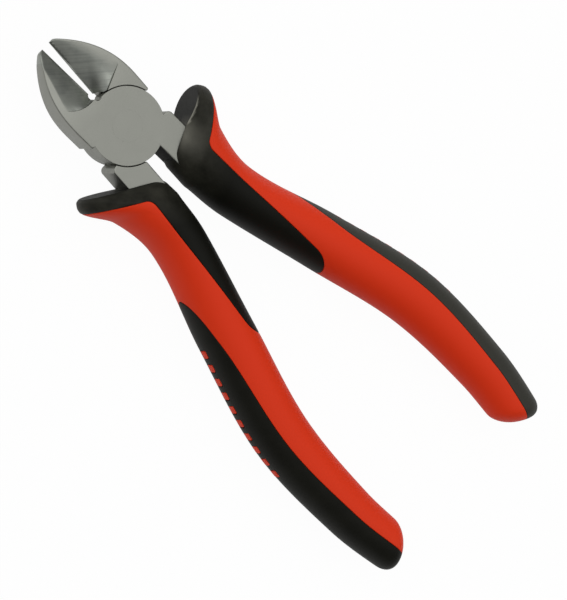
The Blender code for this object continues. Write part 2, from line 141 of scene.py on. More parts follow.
# Bright parts of the surround: direction, cosines where they start and end, and levels there
SURROUND = (
    ((0.2, 0.3, 0.93), (0.25, 0.86), (0.10, 1.0)),
    ((-0.15, 0.9, 0.4), (0.55, 0.9), (0.0, 0.85)),
)
CAMERA_PLACE = Vector((-0.29423, 0.26968, 1.04506))
CAMERA_AIM = Vector((-0.0002, -0.0641, 0.00475))
CAMERA_ROLL, CAMERA_LENS, CAMERA_CLIP = math.radians(92.96), 259.2, 0.01
FLOOR_HALF_SIZE, FLOOR_GAP = 4.0, 0.0001
WHITE = (1, 1, 1, 1)

SIDES = ("right", "left")


def spine_rows():
    """The sections as rows of along, across, width, thickness and slant in radians."""
    run, inner, width, thickness, slant = np.array(GRIP_SECTIONS).T
    slant = np.radians(slant)
    across = inner + width / 2 * np.cos(slant)
    return np.stack((MOUTH_PLACE - np.cumsum(run), across, width, thickness, slant), 1)


SPINE = spine_rows()
MOUTH, HEEL = SPINE[0], SPINE[-1]


# Settings, with one function for each kind of property

def length(name, description, default):
    return FloatProperty(
        name=name, description=description, default=default,
        unit="LENGTH", subtype="DISTANCE", precision=5,
    )


def angle(name, description, degrees):
    return FloatProperty(
        name=name, description=description, default=math.radians(degrees),
        unit="ROTATION", subtype="ANGLE",
    )


def number(name, description, default):
    return FloatProperty(name=name, description=description, default=default)


def colour(name, description, code):
    return FloatVectorProperty(
        name=name, description=description, default=linear(code),
        subtype="COLOR", size=3, min=0, max=1,
    )


def linear(code):
    """A six-digit sRGB code as linear red, green and blue."""
    shares = [int(code[i:i + 2], 16) / 255 for i in (0, 2, 4)]
    return tuple(s / 12.92 if s <= 0.04045 else ((s + 0.055) / 1.055) ** 2.4 for s in shares)


class CutterHead(bpy.types.PropertyGroup):
    """Sizes of the forged levers and the rivet"""

    thickness: length("Head thickness", "Between the two ground faces of the joint", HEAD_THICKNESS)
    joint_radius: length("Joint radius", "Round disc of the lap joint", 0.0103)
    shoulder_step: length("Shoulder step", "How far jaw and tang stand out past the disc", 0.0006)
    pocket_clearance: length("Pocket clearance", "Gap round the disc of the other half", 0.0003)
    lap_gap: length("Lap gap", "Gap between the two half-thick discs", 0.00006)
    jaw_reach: length("Jaw reach", "From the pivot to the tips", 0.0290)
    jaw_shoulder: length("Jaw shoulder", "Where the jaw's outer side starts", 0.0030)
    jaw_curve_start: length("Jaw curve start", "Where the jaw's outer side starts to bend in", 0.0070)
    jaw_curve_power: number("Jaw curve power", "How late the outer side bends", 2.5)
    tip_width: length("Tip width", "Blunt end of one jaw", 0.0016)
    tip_round: length("Tip round", "Outer corner of the blunt end", 0.0016)
    edge_clearance: length("Edge clearance", "Half the gap between closed edges", 0.00005)
    edge_land: length("Edge land", "Flat left on the cutting edge", 0.0003)
    nose_start: length("Nose start", "Where the jaw starts to thin towards the tip", 0.0130)
    nose_angle: angle("Nose angle", "Slope of the thinning nose", 10)
    nose_blend: length("Nose blend", "Half the length over which the nose bends down", 0.0050)
    tang_shoulder: length("Tang shoulder", "Where the tang leaves the disc", -0.0054)
    tang_inner: length("Tang inner side", "Distance of the tang from the middle line", 0.0023)
    tang_root_depth: length("Tang root depth", "How far the thick tang runs into the collar", 0.0018)
    rivet_radius: length("Rivet radius", "Shank of the rivet", 0.0030)
    rivet_head: length("Rivet head radius", "Flush countersunk head", 0.0042)
    rivet_sink: length("Rivet sink", "Depth of the countersink", 0.0015)
    rivet_gap: length("Rivet gap", "Hairline round the flush head", 0.000006)
    jaw_round: length("Jaw edge round", "Outer edges of the jaws", 0.0004)
    joint_round: length("Joint edge round", "Edges of the disc", 0.00008)
    tang_round: length("Tang edge round", "Edges of the tang", 0.0003)
    cutting_round: length("Cutting edge round", "Edges of the cutting land", 0.00003)
    spacing: length("Point spacing", "Distance between the mesh's inner points", 0.0006)

    @property
    def half_width(self):
        """From the middle line to the outer side of the jaw and of the tang."""
        return self.joint_radius + self.shoulder_step

    @property
    def half_thickness(self):
        """From the mid-plane to a ground face."""
        return self.thickness / 2

    @property
    def pocket_radius(self):
        """Of the round pocket for the other half's disc."""
        return self.joint_radius + self.pocket_clearance


# How each jaw is ground by hand: kind, name, description, and the front and the rear lever's value
GRIND_FIELDS = {
    "mean": (angle, "Bevel angle", "Mean slope of the bevel", 26.2, 23.9),
    "edge": (angle, "Edge angle", "Slope of the bevel at the cutting edge", 32, 30),
    "blend": (length, "Blend", "Height of the blend into the forged face", 0.0001, 0.0008),
    "crease": (length, "Crease", "Where the bevel's joint end meets the middle line", 0.0111, 0.0093),
    "slant": (angle, "Crease slant", "Slant of the joint end", 0, 24),
    "bend": (length, "Crease bend", "How far the joint end bends forward in a centimetre", 0.0058, 0),
    "cove": (length, "Cove", "Length of the hollow before the crease, at the edge", 0.0018, 0.0034),
    "cove_growth": (number, "Cove growth", "How the hollow lengthens away from the edge", 0.35, 1.3),
    "step": (length, "Step", "Height of the small wall at the crease", 0.0005, 0.0008),
    "relief": (length, "Relief radius", "Round relief behind the cutting edge", 0.0011, 0.0017),
    "bite": (length, "Relief bite", "How far the relief cuts into the joint disc", 0.0003, 0.0024),
}


def grind_group(title, lever, column):
    """A property group with one lever's column of the grinding values."""
    fields = {}
    for field, (kind, name, description, *values) in GRIND_FIELDS.items():
        fields[field] = kind(name, description, values[column])
    notes = {"__doc__": f"How the jaw of the {lever} lever is ground", "__annotations__": fields}
    return type(title, (bpy.types.PropertyGroup,), notes)


FrontGrind = grind_group("FrontGrind", "front", 0)
RearGrind = grind_group("RearGrind", "rear", 1)


class CutterGrip(bpy.types.PropertyGroup):
    """Sizes of the two-shot grips"""

    right_slide: length("Right slide", "How far the right grip sits forward on its tang", -0.0012)
    left_slide: length("Left slide", "How far the left grip sits forward on its tang", 0.0003)
    right_lean: angle("Right lean", "How far the right mouth leans forward on the finger side", 7)
    left_lean: angle("Left lean", "How far the left mouth leans forward on the finger side", 0)
    lean_run: length("Lean run", "How far behind the mouth that lean ends", 0.0048)
    mouth_edge: length("Mouth edge", "Round of the front face at the horn", 0.0010)
    ramp_height: length("Ramp height", "How far the mouth ramps down to the tang", 0.0046)
    ramp_length: length("Ramp length", "How far back that ramp runs", 0.0045)
    ramp_turn: angle("Ramp turn", "How far round to the finger side the ramp lies", 10)
    ramp_power: number("Ramp power", "From 1 for a flat ramp to 2 for a full round", 1.4)
    heel_round_outer: length("Outer heel round", "Round of the heel on the palm side", 0.0040)
    heel_round_inner: length("Inner heel round", "Round of the heel on the finger side", 0.0054)
    soft_layer: length("Soft layer", "Thickness of the black islands", 0.0022)
    collar_depth: length("Collar depth", "Black band behind the front face", 0.0038)
    corner_round: length("Corner round", "Where the band runs into the tongue", 0.0031)
    tongue_root: length("Tongue root", "Edge of the tongue at the collar", 0.0096)
    tongue_tip: length("Tongue tip", "Edge of the tongue near its end", 0.0110)
    tongue_tip_y: length("Tongue tip place", "Where that edge is measured", -0.0540)
    tongue_end: length("Tongue end", "End of the tongue along the tool", -0.0693)
    tongue_round: length("Tongue round", "Round of the tongue's end", 0.0105)
    strip_start: length("Strip start", "Point of the palm strip", -0.0465)
    strip_depth: length("Strip depth", "How far the strip wraps in from the palm side", 0.0062)
    strip_run: length("Strip run", "Length over which the strip widens", 0.0210)
    rung_count: IntProperty(name="Rungs", description="Red rungs in each palm strip", default=10, min=2)
    rung_start: length("Rung start", "First rung along the tool", -0.0613)
    rung_end: length("Rung end", "Last rung along the tool", -0.0964)
    rung_length: length("Rung length", "Size of a rung along the strip", 0.0021)
    rung_height: length("Rung height", "Size of a rung across the strip", 0.0031)
    rung_corner: length("Rung corner", "Round of a rung's corners", 0.0004)
    seam_gap: length("Seam gap", "Gap between red and black", 0.00008)
    seam_round: length("Seam round", "Edges along the seams", 0.00022)
    tang_fit: length("Tang fit", "Gap round the tang in the grip", 0.00003)
    spacing: length("Point spacing", "Distance between the mesh's inner points", 0.0008)


class CutterFinish(bpy.types.PropertyGroup):
    """Colours of the finishes and the stage"""

    steel: colour("Steel", "Satin tool steel", "90918a")
    bevel: colour("Bevels", "Freshly ground tool steel", "93968f")
    smudge: colour("Smudges", "The same steel where oil has darkened it", "747773")
    # Painted shade: a dark tint laid on the tangs' inner sides, which lie in shade
    scale: colour("Forging scale", "Dark oxide on the unground sides of the tangs", "1e1e1a")
    red: colour("Red", "Hard moulded polypropylene", "e03817")
    black: colour("Black", "Soft moulded elastomer", "11110c")
    worn: colour("Worn black", "The same elastomer where it is scuffed", "3e3d35")
    # Painted sheen: a pale tint laid on the black as the highlight along the horn's ridge, and as the
    # sheen behind the tang and on the palm strip's upper side
    rubbed: colour("Rubbed black", "The same elastomer where it is rubbed pale", "a5a397")
    floor: colour("Floor", "Pale studio floor", "f4f4f2")


# Curves in a plane, as rows of points

def arc(centre, radius, start, end):
    """Points along an arc, close enough to look round."""
    flatness = 0.00001
    steps = max(4, round(abs(end - start) * math.sqrt(radius / flatness)))
    angles = np.linspace(start, end, steps + 1)
    return np.array(centre) + radius * np.stack((np.cos(angles), np.sin(angles)), 1)


def fillet(before, corner, after, radius):
    """Points that round one corner of an outline."""
    corner = np.array(corner, float)
    back = unit(np.array(before) - corner)
    ahead = unit(np.array(after) - corner)
    half = math.acos(np.clip(back @ ahead, -1, 1)) / 2
    centre = corner + unit(back + ahead) * radius / math.sin(half)
    first = corner + back * radius / math.tan(half) - centre
    last = corner + ahead * radius / math.tan(half) - centre
    start = math.atan2(first[1], first[0])
    turn = math.atan2(first[0] * last[1] - first[1] * last[0], first @ last)
    return arc(centre, radius, start, start + turn)


def rounded(corners, *radii):
    """An open outline with each inner corner rounded to its radius."""
    rounds = [fillet(*corners[i:i + 3], radius) for i, radius in enumerate(radii)]
    return np.concatenate((corners[:1], *rounds, corners[-1:]))


def unit(vector):
    return vector / np.linalg.norm(vector, axis=-1, keepdims=True)


def resample(curve, step):
    """The same polyline with evenly spaced points, ends kept."""
    travel = np.append(0, np.cumsum(np.linalg.norm(np.diff(curve, axis=0), axis=1)))
    places = np.linspace(0, travel[-1], max(2, math.ceil(travel[-1] / step)) + 1)
    return np.stack([np.interp(places, travel, axis) for axis in curve.T], 1)


def offset(curve, distance, closed=False):
    """A polyline moved to its left by a distance, with mitred corners."""
    beyond = curve[:1] if closed else 2 * curve[-1:] - curve[-2:-1]
    steps = unit(np.diff(curve, axis=0, append=beyond))
    after = np.stack((-steps[:, 1], steps[:, 0]), 1)
    before = np.roll(after, 1, axis=0)
    if not closed:
        before[0] = after[0]
    both = before + after
    return curve + both * 2 / np.sum(both**2, axis=1, keepdims=True) * np.reshape(distance, (-1, 1))


def distance_to(points, starts, ends):
    """Distance of each point from the nearest of some line segments."""
    run = ends - starts
    away = points[:, None] - starts
    share = np.clip(np.sum(away * run, 2) / np.maximum(np.sum(run**2, 1), TINY**2), 0, 1)
    return np.sqrt(np.min(np.sum((away - share[..., None] * run) ** 2, 2), 1))


def within(points, polygon):
    """Which points lie inside a closed outline."""
    x, y = points.T
    inside = np.zeros(len(points), bool)
    for (x1, y1), (x2, y2) in zip(polygon, np.roll(polygon, -1, 0)):
        crossed = (y1 > y) != (y2 > y)
        inside ^= crossed & (x < x1 + (x2 - x1) * (y - y1) / (y2 - y1 or 1))
    return inside


def rounding(distance, radius):
    """How far an edge round draws a surface in, at a distance from the edge."""
    rest = np.clip(radius - distance, 0, radius)
    return radius - np.sqrt(radius**2 - rest**2)


def eased(share):
    """A share kept from 0 to 1, with gentle ends."""
    share = np.clip(share, 0, 1)
    return share**2 * (3 - 2 * share)


def lattice(low, high, step):
    """Staggered points over a rectangle."""
    columns, rows = (max(2, math.ceil((high[i] - low[i]) / step)) + 1 for i in (0, 1))
    x, y = np.meshgrid(np.linspace(low[0], high[0], columns), np.linspace(low[1], high[1], rows))
    shift = (np.arange(rows) % 2)[:, None] * (high[0] - low[0]) / columns / 2
    inner = (np.arange(columns) > 0) & (np.arange(columns) < columns - 1)
    return np.stack((x + shift * inner, y), -1).reshape(-1, 2)


# Meshes

def triangulate(curves, fill, clear, keep):
    """Triangles over a plane that have every curve as edges, and the fill points clear of them."""
    scale, apart = 1000, 1e-5  # millimetres suit the triangulation's own tolerance
    points, edges = [], []
    for curve in curves:
        first = len(points)
        points += [Vector(point) for point in (curve * scale).tolist()]
        edges += [(i, i + 1) for i in range(first, len(points) - 1)]
    tree = KDTree(len(points))
    for i, point in enumerate(points):
        tree.insert(point.to_3d(), i)
    tree.balance()
    spare = [Vector(point) for point in (fill * scale).tolist()]
    points += [point for point in spare if tree.find(point.to_3d())[2] > clear * scale]
    flat, _, faces, *_ = delaunay_2d_cdt(points, edges, [], 0, apart)
    flat = np.array(flat) / scale
    faces = np.array(faces)
    faces = faces[keep(flat[faces].mean(axis=1))]
    used, faces = np.unique(faces, return_inverse=True)
    return flat[used], faces.reshape(-1, 3)


def rim(faces):
    """Edges of a sheet of triangles that only one triangle has."""
    edges = np.concatenate([faces[:, (i, (i + 1) % 3)] for i in range(3)])
    pairs = {tuple(edge) for edge in edges.tolist()}
    return np.array([edge for edge in pairs if edge[::-1] not in pairs])


def closed_sheet(top, bottom, faces, edges):
    """A body between two sheets of the same triangles, walled along the given edges."""
    lower = faces[:, ::-1] + len(top)
    start, end = edges[:, 1], edges[:, 0]
    walls = np.concatenate((
        np.stack((start, end, end + len(top)), 1),
        np.stack((start, end + len(top), start + len(top)), 1),
    ))
    return np.concatenate((top, bottom)), np.concatenate((faces, lower, walls))


def mirrored(points, faces):
    """A half body with its reflection in the mid-plane."""
    return (
        np.concatenate((points, points * (1, 1, -1))),
        np.concatenate((faces, faces[:, ::-1] + len(points))),
    )


def linked(name, data):
    """A new object in the scene."""
    made = bpy.data.objects.new(name, data)
    bpy.context.scene.collection.objects.link(made)
    return made


def mesh_object(name, points, faces):
    """A linked object whose mesh is closed and faces outward."""
    mesh = bpy.data.meshes.new(name)
    mesh.from_pydata(points, [], faces)
    shape = bmesh.new()
    shape.from_mesh(mesh)
    bmesh.ops.remove_doubles(shape, verts=shape.verts, dist=TINY)
    bmesh.ops.dissolve_degenerate(shape, edges=shape.edges, dist=TINY / 10)
    bmesh.ops.recalc_face_normals(shape, faces=shape.faces)
    shape.to_mesh(mesh)
    shape.free()
    return linked(name, mesh)


def lofted(name, rings):
    """A body through rings of equal point counts, with flat ends."""
    sides = len(rings[0])
    points = [point for ring in rings for point in ring]
    faces = [range(sides), range(len(points) - sides, len(points))]
    for start in range(0, len(points) - sides, sides):
        for side in range(sides):
            after = (side + 1) % sides
            faces.append((start + side, start + after, start + sides + after, start + sides + side))
    return mesh_object(name, points, faces)


def settle(target):
    """Give an object the mesh that its modifiers make, and remove them."""
    bpy.context.view_layer.update()
    depsgraph = bpy.context.evaluated_depsgraph_get()
    mesh = bpy.data.meshes.new_from_object(target.evaluated_get(depsgraph))
    target.modifiers.clear()
    target.data = mesh


def points_of(mesh):
    """The mesh's points as rows."""
    points = np.empty(len(mesh.vertices) * 3)
    mesh.vertices.foreach_get("co", points)
    return points.reshape(-1, 3)


def mark(mesh, name, rule):
    """Store a share from 0 to 1 at each point of a mesh, for its finish."""
    shares = np.asarray(rule(points_of(mesh)), np.float32)
    mesh.attributes.new(name, "FLOAT", "POINT").data.foreach_set("value", shares)


def combine(target, other, operation):
    """Boolean the other body into the target, and remove the other."""
    change = target.modifiers.new(operation.title(), "BOOLEAN")
    change.operation = operation
    change.solver = "EXACT"
    change.object = other
    settle(target)
    bpy.data.objects.remove(other)


def rest_place(side):
    """The matrix that takes the drawn half to its place at rest on one side of the tool."""
    lift = Matrix.Translation((0, 0, MID_HEIGHT))
    if side == "right":
        return lift @ Matrix.Rotation(CLOSING_TRAVEL / 2, 4, "Z")
    return lift @ Matrix.Rotation(-CLOSING_TRAVEL / 2, 4, "Z") @ Matrix.Rotation(math.pi, 4, "Y")


def fitted(points, side):
    """Points of the drawn grip as one side has them: slid along the tang, with the mouth leant."""
    grip = bpy.context.scene.cutter_grip
    _, across, width, _, slant = MOUTH
    horn = across + width / 2 * math.cos(slant)
    lean = math.tan(slant) - math.tan(slant - getattr(grip, side + "_lean"))
    near = eased(1 - depth_behind_face(points) / grip.lean_run)
    shift = lean * (horn - points[:, 0]) * near
    return points + np.outer(shift + getattr(grip, side + "_slide"), (0, 1, 0))


def fit_to_tang(mesh, side):
    """Move a drawn grip's points, or a tang's, to where one side has them."""
    mesh.vertices.foreach_set("co", fitted(points_of(mesh), side).ravel())


def install(drawn, name, side, material, node=None, on_tang=False):
    """Place a copy of a drawn piece on its half of the tool, with its finish."""
    mesh = drawn.data.copy()
    if on_tang:
        fit_to_tang(mesh, side)
    mesh.transform(rest_place(side))
    mesh.shade_smooth()
    mesh.set_sharp_from_angle(angle=SHARP_EDGE)
    mesh.materials.clear()
    mesh.materials.append(material)
    piece = linked(name, mesh)
    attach(piece, "front_half" if side == "right" else "rear_half")
    if node:
        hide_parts(node)


# The grip's surface

def section_at(along):
    """Across, half width, half thickness and slant of the grip at places along its spine."""
    # A cubic from row to row, whose slope at a row comes from the rows beside it
    rows, place = SPINE, SPINE[:, 0]
    index = np.searchsorted(-place, -np.asarray(along), side="right") - 1
    index = np.clip(index, 0, len(rows) - 2)
    span = place[index + 1] - place[index]
    t = ((along - place[index]) / span)[..., None]
    ahead = np.append(np.arange(1, len(rows)), len(rows) - 1)
    behind = np.append(0, np.arange(len(rows) - 1))
    slope = (rows[ahead] - rows[behind]) / (place[ahead] - place[behind])[:, None]
    low, high = rows[index], rows[index + 1]
    leave, arrive = slope[index] * span[..., None], slope[index + 1] * span[..., None]
    values = (
        low * (2 * t**3 - 3 * t**2 + 1) + leave * (t**3 - 2 * t**2 + t)
        + high * (3 * t**2 - 2 * t**3) + arrive * (t**3 - t**2)
    )
    return values[..., 1], values[..., 2] / 2, values[..., 3] / 2, values[..., 4]


class GripSurface:
    """The right grip's outer form, unrolled into a flat chart.

    The chart's first axis runs along the grip, from the middle of its front
    face to the middle of its heel.  The second runs round it on the front
    side, from the palm side at 0 to the finger side at half_turn.
    """

    # Chart lengths: the radius it is rolled round, the front face, the mouth, the heel and its end
    roll = 0.0085
    half_turn = math.pi * roll
    face_run = 0.0080
    mouth_run = 0.0060
    heel_run = 0.0070
    end_run = 0.0024
    # Places of the rows of points at the mouth's ridge
    ridge_rows = (-0.00025, 0, 0.0001, 0.0003, 0.0006)

    def __init__(self, grip):
        self.grip = grip
        self.front, self.back = MOUTH[0], HEEL[0]
        self.body_run = self.front - self.back - grip.mouth_edge - grip.heel_round_inner
        self.body_end = self.mouth_run + self.body_run
        self.low = np.array((-self.face_run, 0))
        self.high = np.array((self.body_end + self.heel_run + self.end_run, self.half_turn))

    def ends(self, turn):
        """Length and height of the mouth's ramp, and radius of the heel, at angles round the grip."""
        grip = self.grip
        share = np.sin(turn - grip.ramp_turn) ** 4
        run = grip.mouth_edge + (grip.ramp_length - grip.mouth_edge) * share
        outer = (1 + np.cos(turn)) / 2
        heel = grip.heel_round_inner + (grip.heel_round_outer - grip.heel_round_inner) * outer
        return run, grip.mouth_edge + grip.ramp_height * share, heel

    def profile(self, v, turn):
        """Place along the spine, draw-in, shrink and outward lean of the surface."""
        run, rise, heel = self.ends(turn)
        power = 2 / self.grip.ramp_power
        share = np.clip((v - self.mouth_run) / self.body_run, 0, 1)
        first, last = self.front - run, self.back + heel
        opening = np.clip(v / self.mouth_run, 0, 1) * math.pi / 2
        closing = np.clip((v - self.body_end) / self.heel_run, 0, 1) * math.pi / 2
        along = first + (last - first) * share
        along = along + run * np.cos(opening) ** power - heel * np.sin(closing)
        draw_in = rise * (1 - np.sin(opening) ** power) + heel * (1 - np.cos(closing))
        shrink = np.clip(1 + v / self.face_run, 0, 1)
        shrink = shrink * np.clip((self.high[0] - v) / self.end_run, 0, 1)
        return along, draw_in, shrink, np.cos(opening) - np.sin(closing)

    def points(self, chart, inset):
        """Chart points as points on the surface, or that far under it."""
        v, turn = chart[:, 0], chart[:, 1] / self.roll
        along, draw_in, shrink, lean = self.profile(v, turn)
        across, half_width, half_height, slant = section_at(along)
        draw_in = draw_in + inset * np.sqrt(1 - lean**2)
        u = np.maximum(half_width - draw_in, 0) * shrink * np.cos(turn)
        z = np.maximum(half_height - draw_in, 0) * shrink * np.sin(turn)
        x = across + np.cos(slant) * u
        y = along + np.sin(slant) * u
        x = x + inset * lean * np.sin(slant)
        y = y - inset * lean * np.cos(slant)
        return np.stack((x, y, z), 1)

    def chart_of(self, along, u):
        """Chart points for places along the spine and offsets across it."""
        half_width = section_at(along)[1]
        draw_in = np.zeros_like(along)
        for _ in range(CHART_PASSES):
            turn = np.arccos(np.clip(u / (half_width - draw_in), -1, 1))
            run, _, heel = self.ends(turn)
            first, last = self.front - run, self.back + heel
            rest = np.clip((along - first) / run, 0, 1) ** (self.grip.ramp_power / 2)
            v = self.mouth_run * np.arccos(rest) / (math.pi / 2)
            v += np.maximum((along - first) / (last - first), 0) * self.body_run
            draw_in = self.profile(v, turn)[1]
        return np.stack((v, turn * self.roll), 1)

    def chart_of_palm(self, along):
        """Chart points on the palm side for places along the spine."""
        return self.chart_of(along, np.full(len(along), np.inf))

    def chart_of_plan(self, plan):
        """Chart points above points of the plan, for points on the grip's body."""
        along = plan[:, 1].copy()
        for _ in range(PLAN_PASSES):
            across, _, _, slant = section_at(along)
            u = (plan[:, 0] - across) / np.cos(slant)
            along = np.clip((along + plan[:, 1] - np.sin(slant) * u) / 2, self.back, self.front)
        return self.chart_of(along, u)


def face_line(x, depth):
    """Y of the grip's slanted front face, or of a plane that deep behind it."""
    along, across, _, _, slant = MOUTH
    return along + (x - across) * math.tan(slant) - depth / math.cos(slant)


def collar_edge(surface):
    """Chart curve round the black collar: behind its band, then round its tongue."""
    grip = surface.grip
    far = 0.040  # across, well past both sides of the grip
    root_y = face_line(grip.tongue_root, grip.collar_depth)
    slope = (grip.tongue_tip - grip.tongue_root) / (grip.tongue_tip_y - root_y)
    tip_x = grip.tongue_tip + slope * (grip.tongue_end - grip.tongue_tip_y)
    corners = np.array((
        (far, face_line(far, grip.collar_depth)), (grip.tongue_root, root_y),
        (tip_x, grip.tongue_end), (-far, grip.tongue_end),
    ))
    plan = rounded(corners, grip.corner_round, grip.tongue_round)
    chart = surface.chart_of_plan(resample(plan, PLAN_STEP))
    chart = chart[(chart[:, 1] > TINY) & (chart[:, 1] < surface.half_turn - TINY)]
    chart = np.concatenate((chart[:1] * (1, 0), chart, chart[-1:] * (1, 0) + (0, surface.half_turn)))
    return resample(chart, SEAM_STEP)


def strip_edge(surface):
    """Chart curve along the black palm strip, from its end on the heel to its point."""
    grip = surface.grip
    start = surface.chart_of_palm(np.array((grip.strip_start,)))[0, 0]
    v = start + (surface.high[0] - start) * np.linspace(0, 1, STRIP_POINTS) ** 2
    turn = np.zeros_like(v)
    for _ in range(STRIP_PASSES):
        along, draw_in, shrink, _ = surface.profile(v, turn)
        half_width = section_at(along)[1]
        past = np.minimum(along - grip.strip_start, 0)
        depth = grip.strip_depth * (1 - np.exp(past / grip.strip_run))
        reach = np.maximum((half_width - draw_in) * shrink, TINY)
        turn = np.arccos(np.clip((half_width - depth) / reach, -1, 1))
    least_turn = 0.02
    last = np.flatnonzero(turn > least_turn)[-1]
    chart = np.stack((v, turn * surface.roll), 1)[: last + 1]
    chart = np.concatenate((chart, chart[-1:] * (1, 0)))
    return resample(chart, SEAM_STEP)[::-1]


def window_edges(surface):
    """Chart curves round the windows that the rungs show through."""
    grip = surface.grip
    edges = []
    along = np.linspace(grip.rung_start, grip.rung_end, grip.rung_count)
    half = grip.rung_length / 2 + grip.seam_gap
    for middle, half_height in zip(surface.chart_of_palm(along)[:, 0], section_at(along)[2]):
        top = math.asin(grip.rung_height / 2 / half_height) * surface.roll + grip.seam_gap
        ends = middle - half, middle + half
        corners = np.array(((ends[0], 0), (ends[0], top), (ends[1], top), (ends[1], 0)))
        edges.append(resample(rounded(corners, grip.rung_corner, grip.rung_corner), WINDOW_STEP))
    return edges


def rows_beside(edge, distances):
    """Curves beside a chart edge that still end on the chart's borders."""
    rows = []
    for distance in distances:
        row = offset(edge, distance)
        row[[0, -1], 1] = edge[[0, -1], 1]
        rows.append(row)
    return rows


def chart_mesh(surface, rows, keep):
    """Triangles over the kept part of the chart, with rows at its borders and the mouth's ridge."""
    step, low, high = surface.grip.spacing, surface.low, surface.high
    corners = np.array((low, (high[0], low[1]), high, (low[0], high[1]), low))
    lines = [corners[i:i + 2] for i in range(4)]
    lines += [np.array(((v, low[1]), (v, high[1]))) for v in surface.ridge_rows]
    rows = rows + [resample(line, step) for line in lines]
    return triangulate(rows, lattice(low, high, step), step * GRIP_CLEAR, keep)


def away_from(chart, edges):
    """Distance of chart points from the nearest of some edges."""
    return np.min([distance_to(chart, edge[:-1], edge[1:]) for edge in edges], axis=0)


def island(name, surface, region, seam, holes=()):
    """A black island: the outer skin inside its seam, less its holes, given its thickness."""
    grip = surface.grip
    edges = [seam, *holes]
    rows = [row for edge in edges for row in rows_beside(edge, ROUND_ROWS * grip.seam_round)]

    def on_island(middle):
        inside = within(middle, region)
        for hole in holes:
            inside &= ~within(middle, hole)
        return inside

    chart, faces = chart_mesh(surface, rows, on_island)
    skin = surface.points(chart, rounding(away_from(chart, edges), grip.seam_round))
    under = surface.points(chart, grip.soft_layer)
    edge = rim(faces)
    turn = chart[edge][..., 1]
    on_border = [np.all(np.abs(turn - border) < TINY, axis=1) for border in (0, surface.half_turn)]
    edge = edge[~np.any(on_border, axis=0)]
    return mesh_object(name, *mirrored(*closed_sheet(skin, under, faces, edge)))


def collar_region(surface, edge):
    """The collar's part of the chart, ahead of its edge."""
    low, high = surface.low - CHART_MARGIN, surface.high + CHART_MARGIN
    first, last = edge[:1] * (1, 0) + (0, low[1]), edge[-1:] * (1, 0) + (0, high[1])
    return np.concatenate((first, edge, last, [(low[0], high[1]), low]))


def strip_region(edge):
    """The strip's part of the chart, under its edge."""
    return np.concatenate((edge, edge[-1:] - (0, CHART_MARGIN), edge[:1] - (0, CHART_MARGIN)))


def red_core(name, surface, collar, strip):
    """The red grip: flush where it shows, and sunk under the black islands."""
    grip = surface.grip
    floor = grip.soft_layer + grip.seam_gap
    steps = np.append(GRIP_WALL - grip.seam_gap, -grip.seam_gap - ROUND_ROWS * grip.seam_round)
    rows = [row for edge in (collar, strip) for row in rows_beside(edge, steps)]
    chart, faces = chart_mesh(surface, rows, lambda middle: np.ones(len(middle), bool))
    away = away_from(chart, (collar, strip)) - grip.seam_gap
    covered = within(chart, collar_region(surface, collar)) | within(chart, strip_region(strip))
    sunk = covered | (away < -GRIP_WALL / 2)
    inset = np.where(sunk, floor, rounding(np.maximum(away, 0), grip.seam_round))
    return mesh_object(name, *mirrored(surface.points(chart, inset), faces))


def depth_behind_face(points):
    """How far points lie behind the plane of the grip's front face."""
    slant = MOUTH[-1]
    return (face_line(points[:, 0], 0) - points[:, 1]) * math.cos(slant)


def worn_share(points):
    """How scuffed the collar is: not on its front face, most just behind it, and less further back."""
    return np.interp(depth_behind_face(points), *SCUFFED_DEPTH)


def painted_sheen_share(head, points):
    """Where the collar is rubbed pale: along the horn's ridge, and on one side behind the tang."""
    x, _, z = points.T
    depth = depth_behind_face(points)
    inner, outer = head.tang_inner, head.half_width
    ridge = np.interp(depth, *RIDGE_DEPTH) * np.interp(x - outer, *RIDGE_ACROSS)
    offsets, shares = RAMP_ACROSS
    places = np.add((inner, inner, outer, outer), offsets)
    ramp = np.interp(depth, *RAMP_DEPTH) * np.interp(x, places, shares)
    return np.where(z > 0, np.maximum(ridge, ramp), 0)


# The levers

def lever_outline(head, grind, side):
    """Plan of one lever, jaws closed, clockwise from the tip, and the edge round of each point."""
    radius = head.joint_radius
    tip = (-head.edge_clearance, head.jaw_reach)
    relief = radius + grind.relief - grind.bite
    meet = (radius**2 + relief**2 - grind.relief**2) / (2 * relief)
    notch_start = math.pi / 2 + math.asin(head.edge_clearance / grind.relief)
    notch_end = math.tau + math.asin((meet - relief) / grind.relief)
    notch = arc((0, relief), grind.relief, notch_start, notch_end)
    right = arc((0, 0), radius, math.asin(meet / radius), math.asin(head.tang_shoulder / radius))
    left_start = -math.acos(head.tang_inner / radius)
    left = arc((0, 0), radius, left_start, -math.pi - math.asin(head.jaw_shoulder / radius))
    root = tang_root(head)
    root[1:3] = fitted(np.array([(x, y, 0) for x, y in root[1:3]]), side)[:, :2].tolist()
    shoulder = (-head.half_width, head.jaw_shoulder)
    curve = jaw_curve(head)
    curve = np.concatenate((curve[:-2], fillet(curve[-2], curve[-1], tip, head.tip_round)))
    parts = (
        (np.array((tip,)), head.cutting_round),
        (notch, head.cutting_round),
        (right[1:], head.joint_round),
        (fillet(right[-1], root[0], root[1], TANG_SHOULDER_ROUND), head.tang_round),
        (np.array(root[1:3]), head.tang_round),
        (left, head.joint_round),
        (fillet(left[-1], shoulder, curve[0], JAW_SHOULDER_ROUND), head.jaw_round),
        (curve, head.jaw_round),
    )
    outline = np.concatenate([points for points, _ in parts])
    rounds = np.concatenate([np.full(len(points), size) for points, size in parts])
    return outline, rounds


def tang_root(head, grow=0):
    """Corners of the thick part of the tang: outer shoulder, outer end, inner end, inner shoulder."""
    inner, outer = head.tang_inner - grow, head.half_width + grow
    depth = head.tang_root_depth + grow
    return [
        (outer, head.tang_shoulder), (outer, face_line(outer, depth)),
        (inner, face_line(inner, depth)), (inner, head.tang_shoulder),
    ]


